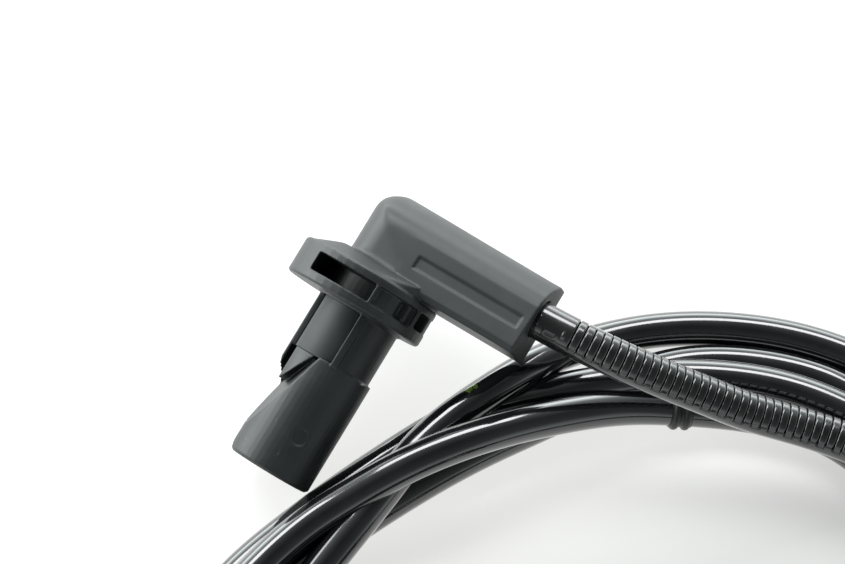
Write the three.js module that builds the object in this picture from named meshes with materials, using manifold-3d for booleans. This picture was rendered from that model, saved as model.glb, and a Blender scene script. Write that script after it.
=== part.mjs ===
// A wheel speed sensor with its lead: a right-angled moulded head with a round flange,
// a slotted bend relief sleeve, and a coiled two-core lead that ends in a two-way plug.
// Millimetres, +Z up. The part lies on a table at z = 0, with the head's arm on the coil.
import * as THREE from 'three';
import { ConvexGeometry } from 'three/addons/geometries/ConvexGeometry.js';
import { mergeVertices } from 'three/addons/utils/BufferGeometryUtils.js';
import Module from 'manifold-3d';

const wasm = await Module();
wasm.setup();

// Gap left between pieces that touch on the real product
const clearance = 0.3;
const roundSides = 48;
const smallSides = 16;
const curveSteps = 10;

// How the head lies: turned about the vertical, and rolled onto its flat back
const headYaw = THREE.MathUtils.degToRad(-33);
const headRoll = THREE.MathUtils.degToRad(-72);

// Head frame: x along the arm, z from the sensing tip up to the elbow, y towards the flat back
// Flange, which seats on the hub carrier
const flangeRadius = 10.8;
const flangeHeight = 5.6;
const flangeChamfer = 0.3;
const pocketLow = 1.5;
const pocketHigh = 4.3;
const pocketLeft = -5.8;
const pocketRight = 3.9;
const pocketWeb = 0.4;
const shallowPocketEnd = 9.6;
const shallowPocketDepth = 0.8;
const notchWidth = 1.5;
const notchStart = 7.2;
const notchEdge = 0.25;
const sidePocketNear = -4.0;
const sidePocketFar = -1.0;

// Shaft that drops into the carrier's bore
const shaftX = 1.35;
const shaftRadius = 6.8;
const shaftLength = 8.6;
const shaftWall = 1.0;
const windowRight = 3.2;
const windowBack = 0.2;
const windowTop = -0.3;
const ribWidth = 1.05;
const flatDepth = 0.45;
const rimWall = 0.5;
const rimLength = 6.6;
const rimToeX = -3.95;
const rimToeSlant = 0.2;
const rimHeelX = -5.55;
const rimHeelDrop = 1.9;

// Sensing tip
const tipX = 1.8;
const tipRadius = 6.4;
const tipLength = 17.3;
const tipChamfer = 0.4;
const toeWidth = 1.1;
const toeHeight = 1.6;
const rampTurn = THREE.MathUtils.degToRad(22.5);
const rampSlope = THREE.MathUtils.degToRad(15);
const rampX = 1.08;
const rampY = -6.5;
const rampDrop = 1.1;
const dimpleX = 4.7;
const dimpleDrop = 10.8;
const dimpleRadius = 1.3;
const dimpleDepth = 0.25;

// Arm and elbow
const armStart = 0.2;
const armEnd = 24.1;
const armBack = 6.0;
const armTop = 18.45;
const armFall = 0.6;
const armCrownY = 1.2;
const armCrownDrop = 0.85;
const armShoulderY = -4.0;
const armShoulderDrop = 1.85;
const armCheekY = -5.0;
const armCheekDrop = 5.35;
const armSideY = -6.3;
const armSideZ = 6.4;
const armSoleY = -5.7;
const armSoleZ = 5.7;
const elbowReach = 6.4;
const elbowRadius = 3.9;
const elbowLean = 0.6;
const plinthTop = 7.3;
const plinthInset = 0.4;
const plinthLeft = -4.5;
const plinthRight = 9.3;
const plinthHalf = 5.6;
const markStart = 5.8;
const markEnd = 23.0;
const markLow = 9.0;
const markHigh = 11.0;
const markDepth = 0.2;

// Lead
const exitHeight = 12.1;
const coreRadius = 0.7;
const strandRadius = 0.3;
const strandOverlap = 0.2;
const innerCableRadius = 1.8;
const tubeRadius = 2.6;
const tubeSides = 12;
const coreSides = 8;
const stripX = 14.0;
const sleeveRadius = 2.7;
const sleeveSeat = 2.2;
const sleeveLength = 62;
const slotPitch = 2.5;
const slotWidth = 0.7;
const slotDepth = 0.25;
const plainSleeve = 6.5;
const spineBearing = THREE.MathUtils.degToRad(160);
const spineHalf = THREE.MathUtils.degToRad(24);

// Parts inside the head
const carrierDrop = 0.6;
const tongueThickness = 1.2;
const tongueHalf = 2.2;
const tongueX = 2.05;
const leadSpacing = 3.4;
const leadWidth = 0.5;
const leadThickness = 0.3;
const leadInCrimp = 1.0;
const chipWidth = 4.0;
const chipThickness = 1.3;
const chipHeight = 4.2;
const magnetThickness = 2.2;
const magnetHeight = 3.8;
const capacitorWidth = 2.3;
const capacitorThickness = 0.9;
const capacitorHeight = 3.4;
const capacitorGap = 1.4;
const crimpOuter = 0.9;
const crimpInner = 0.6;
const crimpLength = 3.0;
const coreRise = 1.05;
const coreBend = 2.0;
const tipWall = 1.3;
const pocketSide = 0.4;
const chipPocketHeight = 11;
const wireBore = 2.4;

// Route of the lead on the table, in plan from the head's own origin, and in height from the table
const leadRoute = [
  [31.2, -6.15, 17.5], [36.3, -8.5, 16.6], [44.6, -11.4, 14.4], [50.3, -13.1, 12.8], [55.8, -14.8, 11.3],
  [61.5, -16.0, 10.2], [67.4, -17.6, 9.5], [74.0, -20.4, 9.1], [79.2, -25.2, 9.0], [81.8, -31.4, 9.0],
];

// Outer edge of the coil in plan, clockwise, and the room its turns take: three below and one nested on them
const coilEdge = [
  [-18.8, -34.3], [7.4, -12.9], [28.0, -1.2], [50.5, 4.0], [72.0, 0.7], [90.0, -12.5], [99.3, -36.0],
  [92.5, -64.0], [70.0, -87.0], [38.0, -97.5], [5.0, -94.5], [-20.5, -80.0], [-30.0, -57.5],
];
const coilTurns = 3;
const coilSlack = 1.6;
const upperSlack = 2.6;
const upperTurnHeight = 4.4;
const coilSteps = 56;
const coilBevel = 1.0;

// Last stretch of the lead, from the coil's inner side to the plug
const tailRoute = [
  [79.2, -41.2, 2.75], [76.4, -47.5, 3.2], [72.0, -53.2, 4.2], [66.6, -57.6, 5.4], [60.0, -60.2, 6.0],
  [53.5, -61.0, 6.2], [48.8, -61.0, 6.2],
];

// Plug, with its mouth towards -X
const plugEnd = 44.0;
const plugLength = 27.0;
const plugHalfWidth = 7.6;
const plugHalfHeight = 6.0;
const plugCorner = 3.0;
const shroudWall = 1.4;
const shroudDepth = 13.0;
const towerHalfWidth = 4.4;
const towerHalfHeight = 2.9;
const towerCorner = 1.2;
const towerRecess = 1.0;
const terminalSpacing = 4.2;
const terminalSize = 1.2;
const terminalLength = 13.9;
const terminalCavity = 0.9;
const sealThickness = 1.1;
const sealWidth = 2.6;
const wireSealRadius = 1.7;
const wireSealLength = 4.0;
const coreRootGap = 0.18;
const coreRootStraight = 0.8;
const coreLeadOut = 0.2;
const rearChamberDepth = 4.5;
const rearChamberHalfHeight = 3.2;
const rearChamberHalfWidth = 5.0;
const bootLength = 9.0;
const bootWall = 1.3;
const bootEndWall = 0.8;
const latchWidth = 5.0;
const latchThickness = 1.2;
const latchGap = 1.0;
const latchLength = 16.0;
const latchFootLength = 3.0;
const lockWidth = 6.0;
const lockHeight = 1.6;
const lockDepth = 2.4;
const lockProud = 0.3;
const lockBehindFloor = 1.0;

const housingPlastic = new THREE.MeshStandardMaterial({ color: 0x1c1d1f, roughness: 0.6, metalness: 0 });
const carrierPlastic = new THREE.MeshStandardMaterial({ color: 0x232425, roughness: 0.5, metalness: 0 });
const moulding = new THREE.MeshStandardMaterial({ color: 0x101112, roughness: 0.35, metalness: 0 });
const magnetMetal = new THREE.MeshStandardMaterial({ color: 0x55585c, roughness: 0.4, metalness: 0.8 });
const ceramic = new THREE.MeshStandardMaterial({ color: 0x9a7b50, roughness: 0.6, metalness: 0 });
const tinnedMetal = new THREE.MeshStandardMaterial({ color: 0xb9bcc0, roughness: 0.35, metalness: 1 });
const brownCore = new THREE.MeshStandardMaterial({ color: 0x5a3a24, roughness: 0.5, metalness: 0 });
const blackCore = new THREE.MeshStandardMaterial({ color: 0x151515, roughness: 0.5, metalness: 0 });
const sheath = new THREE.MeshStandardMaterial({ color: 0x26282a, roughness: 0.6, metalness: 0 });
const sleeveRubber = new THREE.MeshStandardMaterial({ color: 0x0e0f10, roughness: 0.3, metalness: 0 });
const glossyTube = new THREE.MeshStandardMaterial({ color: 0x0b0c0d, roughness: 0.2, metalness: 0 });
const plugPlastic = new THREE.MeshStandardMaterial({ color: 0x1a1b1c, roughness: 0.5, metalness: 0 });
const sealSilicone = new THREE.MeshStandardMaterial({ color: 0xb5552a, roughness: 0.55, metalness: 0 });
const lockPlastic = new THREE.MeshStandardMaterial({ color: 0xc9c6bd, roughness: 0.5, metalness: 0 });

// The mesh as a solid for cutting and joining
function solidOf(geometry) {
  const bare = geometry.clone();
  bare.deleteAttribute('normal');
  bare.deleteAttribute('uv');
  const merged = mergeVertices(bare);
  const index = merged.index.array;
  const corners = [];
  for (let i = 0; i < index.length; i += 3) {
    const [a, b, c] = [index[i], index[i + 1], index[i + 2]];
    if (a !== b && b !== c && c !== a) corners.push(a, b, c);
  }
  const vertProperties = new Float32Array(merged.attributes.position.array);
  const triVerts = new Uint32Array(corners);
  return new wasm.Manifold(new wasm.Mesh({ numProp: 3, vertProperties, triVerts }));
}

function geometryOf(solid) {
  const mesh = solid.getMesh();
  const geometry = new THREE.BufferGeometry();
  geometry.setAttribute('position', new THREE.BufferAttribute(mesh.vertProperties, 3));
  geometry.setIndex(new THREE.BufferAttribute(mesh.triVerts, 1));
  geometry.computeVertexNormals();
  return geometry;
}

function addPiece(parent, name, material, shape) {
  const geometry = shape.isBufferGeometry ? shape : geometryOf(shape);
  const mesh = new THREE.Mesh(geometry, material);
  mesh.name = name;
  parent.add(mesh);
  return mesh;
}

function block(x0, x1, y0, y1, z0, z1) {
  const geometry = new THREE.BoxGeometry(x1 - x0, y1 - y0, z1 - z0);
  geometry.translate((x0 + x1) / 2, (y0 + y1) / 2, (z0 + z1) / 2);
  return solidOf(geometry);
}

function postZ(radius, low, high, x = 0, y = 0, sides = roundSides) {
  const geometry = new THREE.CylinderGeometry(radius, radius, high - low, sides);
  geometry.rotateX(Math.PI / 2);
  geometry.translate(x, y, (low + high) / 2);
  return solidOf(geometry);
}

function postX(radius, from, to, y = 0, z = 0, sides = roundSides) {
  const geometry = new THREE.CylinderGeometry(radius, radius, to - from, sides);
  geometry.rotateZ(-Math.PI / 2);
  geometry.translate((from + to) / 2, y, z);
  return solidOf(geometry);
}

// A round solid about the vertical, from its half outline of [radius, height] points
function turned(outline, x = 0, y = 0, sides = roundSides) {
  const geometry = new THREE.LatheGeometry(outline.map(([r, h]) => new THREE.Vector2(r, h)), sides);
  geometry.rotateX(Math.PI / 2);
  geometry.translate(x, y, 0);
  return solidOf(geometry);
}

// A section of [y, z] points drawn out along x
function drawnAlongX(shape, from, to) {
  const geometry = new THREE.ExtrudeGeometry(shape, { depth: to - from, bevelEnabled: false, curveSegments: 5 });
  const alongX = new THREE.Matrix4().makeBasis(
    new THREE.Vector3(0, 1, 0), new THREE.Vector3(0, 0, 1), new THREE.Vector3(1, 0, 0));
  geometry.applyMatrix4(alongX);
  geometry.translate(from, 0, 0);
  return solidOf(geometry);
}

function roundedRectangle(halfWidth, halfHeight, corner, y = 0, z = 0) {
  const shape = new THREE.Shape();
  shape.moveTo(y - halfWidth + corner, z - halfHeight);
  shape.lineTo(y + halfWidth - corner, z - halfHeight);
  shape.absarc(y + halfWidth - corner, z - halfHeight + corner, corner, -Math.PI / 2, 0);
  shape.lineTo(y + halfWidth, z + halfHeight - corner);
  shape.absarc(y + halfWidth - corner, z + halfHeight - corner, corner, 0, Math.PI / 2);
  shape.lineTo(y - halfWidth + corner, z + halfHeight);
  shape.absarc(y - halfWidth + corner, z + halfHeight - corner, corner, Math.PI / 2, Math.PI);
  shape.lineTo(y - halfWidth, z - halfHeight + corner);
  shape.absarc(y - halfWidth + corner, z - halfHeight + corner, corner, Math.PI, Math.PI * 1.5);
  return shape;
}

// A stretch of a longer curve, between two lengths along it
class Stretch extends THREE.Curve {
  constructor(whole, from, to) {
    super();
    this.whole = whole;
    this.from = from / whole.getLength();
    this.to = to / whole.getLength();
  }

  getPoint(t, target = new THREE.Vector3()) {
    return this.whole.getPointAt(Math.min(1, this.from + (this.to - this.from) * t), target);
  }
}

function tubeAlong(curve, radius, steps, sides, boreRadius = 0) {
  const section = new THREE.Shape(circlePoints(radius, sides));
  if (boreRadius > 0) section.holes.push(new THREE.Path(circlePoints(boreRadius, sides).reverse()));
  return new THREE.ExtrudeGeometry(section, { steps, extrudePath: curve, bevelEnabled: false });
}

function circlePoints(radius, sides) {
  const points = [];
  for (let i = 0; i < sides; i += 1) {
    const angle = (2 * Math.PI * i) / sides;
    points.push(new THREE.Vector2(radius * Math.cos(angle), radius * Math.sin(angle)));
  }
  return points;
}

// How far the arm's rounded top has dropped at each distance from the flat back, as [y, drop]
const armDrops = new THREE.CubicBezierCurve(new THREE.Vector2(armBack, 0), new THREE.Vector2(armCrownY, armCrownDrop),
  new THREE.Vector2(armShoulderY, armShoulderDrop), new THREE.Vector2(armCheekY, armCheekDrop))
  .getPoints(curveSteps).map((p) => [p.x, p.y]);

// Arm section, from the flat back over the rounded top to the sole
function armSection() {
  const shape = new THREE.Shape();
  shape.moveTo(armBack, armSoleZ);
  for (const [y, drop] of armDrops) shape.lineTo(y, armTop - drop);
  shape.lineTo(armSideY, armSideZ);
  shape.lineTo(armSoleY, armSoleZ);
  return shape;
}

// The elbow's outer corner: the same rounded top, turned about an axis square to the flat back
function elbowTurn() {
  const outline = [[0, armBack + 1], [elbowRadius, armBack + 1]];
  for (const [y, drop] of armDrops) {
    if (drop < elbowRadius) outline.push([elbowRadius - drop, y]);
  }
  outline.push([0, armCheekY]);
  const points = outline.reverse().map(([r, y]) => new THREE.Vector2(r, y));
  return solidOf(new THREE.LatheGeometry(points, roundSides));
}

// Arm and elbow in one: the arm's section, cut to its side view, to its plan and to the elbow's corner
function armAndElbow() {
  const left = armStart - elbowReach;
  const turnX = left + elbowRadius;
  const turnZ = armTop - elbowRadius;
  const side = new THREE.Shape();
  side.moveTo(armEnd + 1, 0);
  side.lineTo(armEnd + 1, armTop - armFall);
  side.lineTo(turnX, armTop);
  side.lineTo(left, armTop);
  side.lineTo(left, turnZ);
  side.lineTo(left + elbowLean, armSoleZ);
  side.lineTo(left + elbowLean, 0);
  const sideView = new THREE.ExtrudeGeometry(side, { depth: 4 * armBack, bevelEnabled: false });
  sideView.rotateX(Math.PI / 2);
  sideView.translate(0, 2 * armBack, 0);
  const plan = new THREE.Shape();
  plan.moveTo(armEnd + 1, armBack + 1);
  plan.lineTo(armEnd + 1, armSideY - 1);
  plan.lineTo(left + armTop - armSideZ, armSideY - 1);
  plan.lineTo(left + armTop - armSideZ, armSideY);
  for (const [y, drop] of [...armDrops].reverse()) plan.lineTo(left + drop, y);
  plan.lineTo(left, armBack + 1);
  const planView = new THREE.ExtrudeGeometry(plan, { depth: armTop + 1, bevelEnabled: false });
  const corner = block(left - 1, turnX, armSideY - 1, armBack + 0.5, turnZ, armTop + 1)
    .subtract(elbowTurn().translate([turnX, 0, turnZ]));
  return drawnAlongX(armSection(), left - 1, armEnd)
    .intersect(solidOf(sideView)).intersect(solidOf(planView)).subtract(corner);
}

function flange() {
  const rim = flangeRadius - flangeChamfer;
  const disc = turned([[0, 0], [rim, 0], [flangeRadius, flangeChamfer], [flangeRadius, flangeHeight - flangeChamfer],
    [rim, flangeHeight], [0, flangeHeight]]);
  const hub = postZ(shaftRadius, pocketLow - 1, pocketHigh + 1, shaftX);
  const reach = flangeRadius + 1;
  const deep = block(pocketLeft, pocketRight, -reach, -pocketWeb, pocketLow, pocketHigh).subtract(hub);
  const band = postZ(reach, pocketLow, pocketHigh).subtract(
    postZ(flangeRadius - shallowPocketDepth, pocketLow - 1, pocketHigh + 1));
  const shallowStart = pocketRight + pocketWeb;
  const shallow = band.intersect(block(shallowStart, shallowPocketEnd, -reach, sidePocketNear - pocketWeb,
    pocketLow, pocketHigh));
  const notch = block(notchStart, notchStart + notchWidth, -reach, -flangeRadius / 2, pocketLow + notchEdge,
    pocketHigh - notchEdge).subtract(hub);
  const side = block(shaftX, reach, sidePocketNear, sidePocketFar, pocketLow + pocketWeb, pocketHigh).subtract(hub);
  const nearCuts = deep.add(shallow).add(notch).add(side);
  return disc.subtract(nearCuts).subtract(nearCuts.mirror([0, 1, 0]));
}

function plinth() {
  const points = circlePoints(flangeRadius - plinthInset, roundSides)
    .map((p) => new THREE.Vector3(p.x, p.y, flangeHeight - 0.1));
  for (const x of [plinthLeft, plinthRight]) {
    for (const y of [-plinthHalf, plinthHalf]) points.push(new THREE.Vector3(x, y, plinthTop));
  }
  return solidOf(new ConvexGeometry(points));
}

// Everything on the outer side of the tip's sloped flat
function rampCut() {
  const size = 2 * (tipLength + rampDrop);
  const geometry = new THREE.BoxGeometry(size, size, size);
  geometry.translate(-size / 2, 0, 0);
  geometry.rotateY(rampSlope);
  geometry.rotateZ(rampTurn);
  geometry.translate(rampX, rampY, -shaftLength - rampDrop);
  return solidOf(geometry);
}

// Slanted toe along the low edge of the tip, on the ramp's side
function toeCut() {
  const left = tipX - tipRadius;
  const low = -shaftLength - tipLength;
  const shape = new THREE.Shape();
  shape.moveTo(left - 1, low - 1);
  shape.lineTo(left + toeWidth, low - 1);
  shape.lineTo(left + toeWidth, low);
  shape.lineTo(left, low + toeHeight);
  shape.lineTo(left - 1, low + toeHeight);
  const geometry = new THREE.ExtrudeGeometry(shape, { depth: 2 * tipRadius + 2, bevelEnabled: false });
  geometry.rotateX(Math.PI / 2);
  geometry.translate(0, tipRadius + 1, 0);
  return solidOf(geometry);
}

function shaftAndTip() {
  const tipBottom = -shaftLength - tipLength;
  const tip = turned([[0, tipBottom], [tipRadius - tipChamfer, tipBottom], [tipRadius, tipBottom + tipChamfer],
    [tipRadius, -shaftLength + 0.2], [0, -shaftLength + 0.2]], tipX).subtract(rampCut()).subtract(toeCut());
  const reach = shaftRadius + 2;
  const shaft = postZ(shaftRadius, -shaftLength, 0.2, shaftX)
    .subtract(block(-reach, windowRight, -reach, windowBack, -shaftLength - 1, windowTop));
  const flatLimit = postZ(reach + 2, -shaftLength - 1, windowTop, shaftX)
    .subtract(postZ(shaftRadius - flatDepth, -shaftLength - 2, windowTop + 1, shaftX))
    .intersect(block(windowRight + ribWidth, reach + 3, -reach, reach, -shaftLength - 1, windowTop));
  const rimLow = -shaftLength - rimLength;
  const rim = postZ(shaftRadius, rimLow, -shaftLength + 0.1, shaftX)
    .subtract(postZ(shaftRadius - rimWall, rimLow - 1, -shaftLength + 1, shaftX))
    .intersect(block(-reach, shaftX, windowBack, reach, rimLow - 1, 0))
    .subtract(rimEndCut(rimLow));
  return shaft.subtract(flatLimit).add(tip.subtract(dimple())).add(rim);
}

// Shallow round mark on the tip's near side, cut square to the round surface
function dimple() {
  const bearing = Math.asin((dimpleX - tipX) / tipRadius);
  return postZ(dimpleRadius, tipRadius - dimpleDepth, tipRadius + 1, 0, 0, smallSides)
    .rotate([90, 0, 0])
    .rotate([0, 0, THREE.MathUtils.radToDeg(bearing)])
    .translate([tipX, 0, -shaftLength - dimpleDrop]);
}

// The rim's slanted end, seen from the near side
function rimEndCut(rimLow) {
  const slant = new THREE.Shape();
  const left = shaftX - shaftRadius - 1;
  slant.moveTo(left, rimLow - 1);
  slant.lineTo(rimToeX + rimToeSlant, rimLow - 1);
  slant.lineTo(rimToeX, rimLow);
  slant.lineTo(rimHeelX, -shaftLength - rimHeelDrop);
  slant.lineTo(left, -shaftLength - rimHeelDrop);
  const geometry = new THREE.ExtrudeGeometry(slant, { depth: 2 * shaftRadius + 2, bevelEnabled: false });
  geometry.rotateX(Math.PI / 2);
  geometry.translate(0, shaftRadius + 1, 0);
  return solidOf(geometry);
}

// Shallow panel on the arm's near face, left without marks
function markRecess() {
  const cheekZ = armTop - armCheekDrop;
  const faceY = (z) => armSideY + ((z - armSideZ) * (armCheekY - armSideY)) / (cheekZ - armSideZ);
  const shape = new THREE.Shape();
  shape.moveTo(faceY(markLow) + markDepth, markLow);
  shape.lineTo(faceY(markHigh) + markDepth, markHigh);
  shape.lineTo(armSideY - 1, markHigh);
  shape.lineTo(armSideY - 1, markLow);
  return drawnAlongX(shape, markStart, markEnd);
}

const carrierRadius = shaftRadius - shaftWall - clearance;
const carrierBottom = -shaftLength;
const tipBottomZ = -shaftLength - tipLength;
const sensingZ = tipBottomZ + tipWall;
const chipLow = sensingZ + clearance;
const leadY = -clearance - leadThickness / 2;
const chamberTop = exitHeight + innerCableRadius;
const boreX = armEnd - sleeveSeat - clearance;
const coreHeights = [exitHeight + coreRadius + clearance / 2, exitHeight - coreRadius - clearance / 2];
const crimpTop = coreHeights[1] - coreBend - coreRise;
const crimpLow = crimpTop - crimpLength;
const leadTop = crimpLow + leadInCrimp;
const carrierTop = crimpLow - carrierDrop;

// Spaces inside the head for the carrier, its leads, the crimps, the cores and the lead's end
function headSpaces() {
  const carrierBore = postZ(carrierRadius + clearance, carrierBottom - clearance, carrierTop + clearance, shaftX);
  const tongueSpace = block(tongueX - tongueHalf - clearance, tongueX + tongueHalf + clearance,
    leadY - leadThickness / 2 - clearance, tongueThickness + clearance, sensingZ, carrierBottom);
  const halfPocket = tongueHalf + pocketSide;
  const chipPocket = block(tongueX - halfPocket, tongueX + halfPocket, -clearance - chipThickness - clearance,
    tongueThickness + magnetThickness + 2 * clearance, sensingZ, sensingZ + chipPocketHeight);
  const channel = block(tongueX - leadSpacing / 2 - crimpOuter - clearance,
    tongueX + leadSpacing / 2 + crimpOuter + clearance, leadY - crimpOuter - clearance,
    leadY + crimpOuter + clearance, carrierTop, chamberTop);
  const cross = postX(wireBore, shaftX, stripX, 0, exitHeight, smallSides);
  const cableBore = postX(innerCableRadius + clearance, stripX - 0.1, armEnd + 1, 0, exitHeight);
  const mouth = postX(sleeveRadius + clearance, boreX, armEnd + 1, 0, exitHeight);
  return carrierBore.add(tongueSpace).add(chipPocket).add(channel).add(cross).add(cableBore).add(mouth);
}

function sensorHousing() {
  return flange().add(plinth()).add(armAndElbow()).add(shaftAndTip())
    .subtract(headSpaces()).subtract(markRecess());
}

// Carrier: a round plug in the shaft, a tongue down to the chip, and a channel for the leads
function chipCarrier() {
  const plug = postZ(carrierRadius, carrierBottom, carrierTop, shaftX);
  const tongue = block(tongueX - tongueHalf, tongueX + tongueHalf, 0, tongueThickness, chipLow, carrierBottom + 1);
  const channelHalf = leadSpacing / 2 + leadWidth / 2 + clearance;
  const channel = block(tongueX - channelHalf, tongueX + channelHalf, leadY - leadThickness / 2 - clearance, 0,
    chipLow, carrierTop + 1);
  return plug.add(tongue).subtract(channel);
}

const head = new THREE.Group();
head.rotation.set(headRoll, 0, headYaw, 'ZXY');

addPiece(head, 'sensor_housing', housingPlastic, sensorHousing());
addPiece(head, 'chip_carrier', carrierPlastic, chipCarrier());

const chipTop = chipLow + chipHeight;
addPiece(head, 'hall_chip', moulding, block(tongueX - chipWidth / 2, tongueX + chipWidth / 2,
  -clearance - chipThickness, -clearance, chipLow, chipTop));
addPiece(head, 'bias_magnet', magnetMetal, block(tongueX - chipWidth / 2, tongueX + chipWidth / 2,
  tongueThickness + clearance, tongueThickness + clearance + magnetThickness, chipLow, chipLow + magnetHeight));
const capacitorLow = chipTop + capacitorGap;
addPiece(head, 'filter_capacitor', ceramic, block(tongueX - capacitorWidth / 2, tongueX + capacitorWidth / 2,
  -clearance - capacitorThickness, -clearance, capacitorLow, capacitorLow + capacitorHeight));

// A core from its bared end in the crimp, up and over into the arm
function headCore(x, height) {
  const path = new THREE.CurvePath();
  const start = new THREE.Vector3(x, leadY, crimpTop + clearance);
  const bendStart = new THREE.Vector3(x, leadY, height - coreBend);
  const bendEnd = new THREE.Vector3(x + coreBend, leadY, height);
  path.add(new THREE.LineCurve3(start, bendStart));
  path.add(new THREE.QuadraticBezierCurve3(bendStart, new THREE.Vector3(x, leadY, height), bendEnd));
  path.add(new THREE.LineCurve3(bendEnd, new THREE.Vector3(stripX - clearance, leadY, height)));
  const insulation = solidOf(tubeAlong(path, coreRadius, 14, coreSides));
  return insulation.add(postZ(strandRadius, leadTop + clearance, start.z + strandOverlap, x, leadY, coreSides));
}

const coreColours = [brownCore, blackCore];
for (const [i, side] of [-1, 1].entries()) {
  const x = tongueX + (side * leadSpacing) / 2;
  addPiece(head, `chip_lead_${i + 1}`, tinnedMetal, block(x - leadWidth / 2, x + leadWidth / 2,
    leadY - leadThickness / 2, leadY + leadThickness / 2, chipTop + clearance, leadTop));
  addPiece(head, `crimp_sleeve_${i + 1}`, tinnedMetal,
    postZ(crimpOuter, crimpLow, crimpTop, x, leadY, smallSides)
      .subtract(postZ(crimpInner, crimpLow - 1, crimpTop + 1, x, leadY, smallSides)));
  addPiece(head, `head_core_${i + 1}`, coreColours[i], headCore(x, coreHeights[i]));
}

// The head is set down so that its box stands on the table, centred on the origin
head.updateMatrixWorld(true);
const headBox = new THREE.Box3().setFromObject(head, true);
const headCentre = headBox.getCenter(new THREE.Vector3());
head.position.set(-headCentre.x, -headCentre.y, -headBox.min.z);
head.updateMatrixWorld(true);

// The lead's pieces are placed in plan from the head's origin, and in height from the table
const lead = new THREE.Group();
lead.position.set(head.position.x, head.position.y, 0);
lead.updateMatrixWorld(true);

function onLead(x) {
  return lead.worldToLocal(head.localToWorld(new THREE.Vector3(x, 0, exitHeight)));
}

const route = new THREE.CatmullRomCurve3([onLead(stripX), onLead((stripX + armEnd) / 2), onLead(armEnd),
  ...leadRoute.map((p) => new THREE.Vector3(...p))], false, 'centripetal');
route.arcLengthDivisions = 600;
const insideLength = armEnd - stripX;
const sleeveStart = insideLength - sleeveSeat;
const sleeveEnd = insideLength + sleeveLength;

// One slot round the sleeve, open for the most part and closed along the spine
function sleeveSlot(curve, at) {
  const point = curve.getPointAt(at);
  const along = curve.getTangentAt(at).normalize();
  const sideways = new THREE.Vector3(0, 0, 1).cross(along).normalize();
  const upwards = new THREE.Vector3().crossVectors(along, sideways).normalize();
  const shape = new THREE.Shape();
  const outer = sleeveRadius + 0.6;
  const inner = sleeveRadius - slotDepth;
  const open = spineBearing + spineHalf;
  const closed = spineBearing - spineHalf + 2 * Math.PI;
  shape.absarc(0, 0, outer, open, closed, false);
  shape.absarc(0, 0, inner, closed, open, true);
  const geometry = new THREE.ExtrudeGeometry(shape, { depth: slotWidth, bevelEnabled: false, curveSegments: 4 });
  geometry.translate(0, 0, -slotWidth / 2);
  geometry.applyMatrix4(new THREE.Matrix4().makeBasis(sideways, upwards, along).setPosition(point));
  return solidOf(geometry);
}

function bendReliefSleeve() {
  const curve = new Stretch(route, sleeveStart, sleeveEnd);
  const bore = innerCableRadius + clearance;
  let sleeve = solidOf(tubeAlong(curve, sleeveRadius, 26, tubeSides, bore));
  const length = sleeveEnd - sleeveStart;
  const first = sleeveSeat + plainSleeve;
  const slots = [];
  for (let s = first; s < length - 2; s += slotPitch) slots.push(sleeveSlot(curve, s / length));
  for (const slot of slots) sleeve = sleeve.subtract(slot);
  return sleeve;
}

addPiece(lead, 'inner_cable', sheath, tubeAlong(new Stretch(route, 0, sleeveEnd), innerCableRadius, 18, coreSides));
addPiece(lead, 'bend_relief_sleeve', sleeveRubber, bendReliefSleeve());
addPiece(lead, 'outer_tube_run', glossyTube,
  tubeAlong(new Stretch(route, sleeveEnd + clearance, route.getLength()), tubeRadius, 3, tubeSides));

// The coil's outline in plan, moved inwards by a distance
function coilOutline(inset) {
  const loop = new THREE.CatmullRomCurve3(coilEdge.map(([x, y]) => new THREE.Vector3(x, y, 0)), true, 'centripetal');
  const points = [];
  for (let i = 0; i < coilSteps; i += 1) {
    const point = loop.getPointAt(i / coilSteps);
    const along = loop.getTangentAt(i / coilSteps);
    points.push(new THREE.Vector2(point.x + along.y * inset, point.y - along.x * inset));
  }
  return points;
}

function coilLayer(inset, width, low, height) {
  const shape = new THREE.Shape(coilOutline(inset + coilBevel));
  shape.holes.push(new THREE.Path(coilOutline(inset + width - coilBevel).reverse()));
  const geometry = new THREE.ExtrudeGeometry(shape, {
    depth: height - 2 * coilBevel, bevelEnabled: true, bevelThickness: coilBevel, bevelSize: coilBevel, bevelSegments: 1,
  });
  geometry.translate(0, 0, low + coilBevel);
  return solidOf(geometry);
}

// Room round the sensing tip, which dips beside the coil's outermost turn
function tipRoom() {
  const grown = tipRadius + clearance;
  const geometry = new THREE.CylinderGeometry(grown, grown, tipLength + 1, roundSides);
  geometry.rotateX(Math.PI / 2);
  geometry.translate(tipX, 0, -shaftLength - tipLength / 2 - clearance);
  const toLead = new THREE.Matrix4().copy(lead.matrixWorld).invert().multiply(head.matrixWorld);
  geometry.applyMatrix4(toLead);
  return solidOf(geometry);
}

const strand = 2 * tubeRadius;
const coil = coilLayer(0, coilTurns * strand + coilSlack, 0, strand)
  .add(coilLayer(strand, strand + upperSlack, upperTurnHeight, strand))
  .subtract(tipRoom());
addPiece(lead, 'outer_tube_coil', glossyTube, coil);

// Plug
const plug = new THREE.Group();
const plugY = tailRoute[tailRoute.length - 1][1];
plug.position.set(0, plugY, plugHalfHeight);
lead.add(plug);
const plugFront = plugEnd - plugLength;
const towerFront = plugFront + towerRecess;
const shroudFloor = plugFront + shroudDepth;
const chamberFloor = plugEnd - rearChamberDepth;
const lockFront = shroudFloor + lockBehindFloor + clearance;

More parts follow.
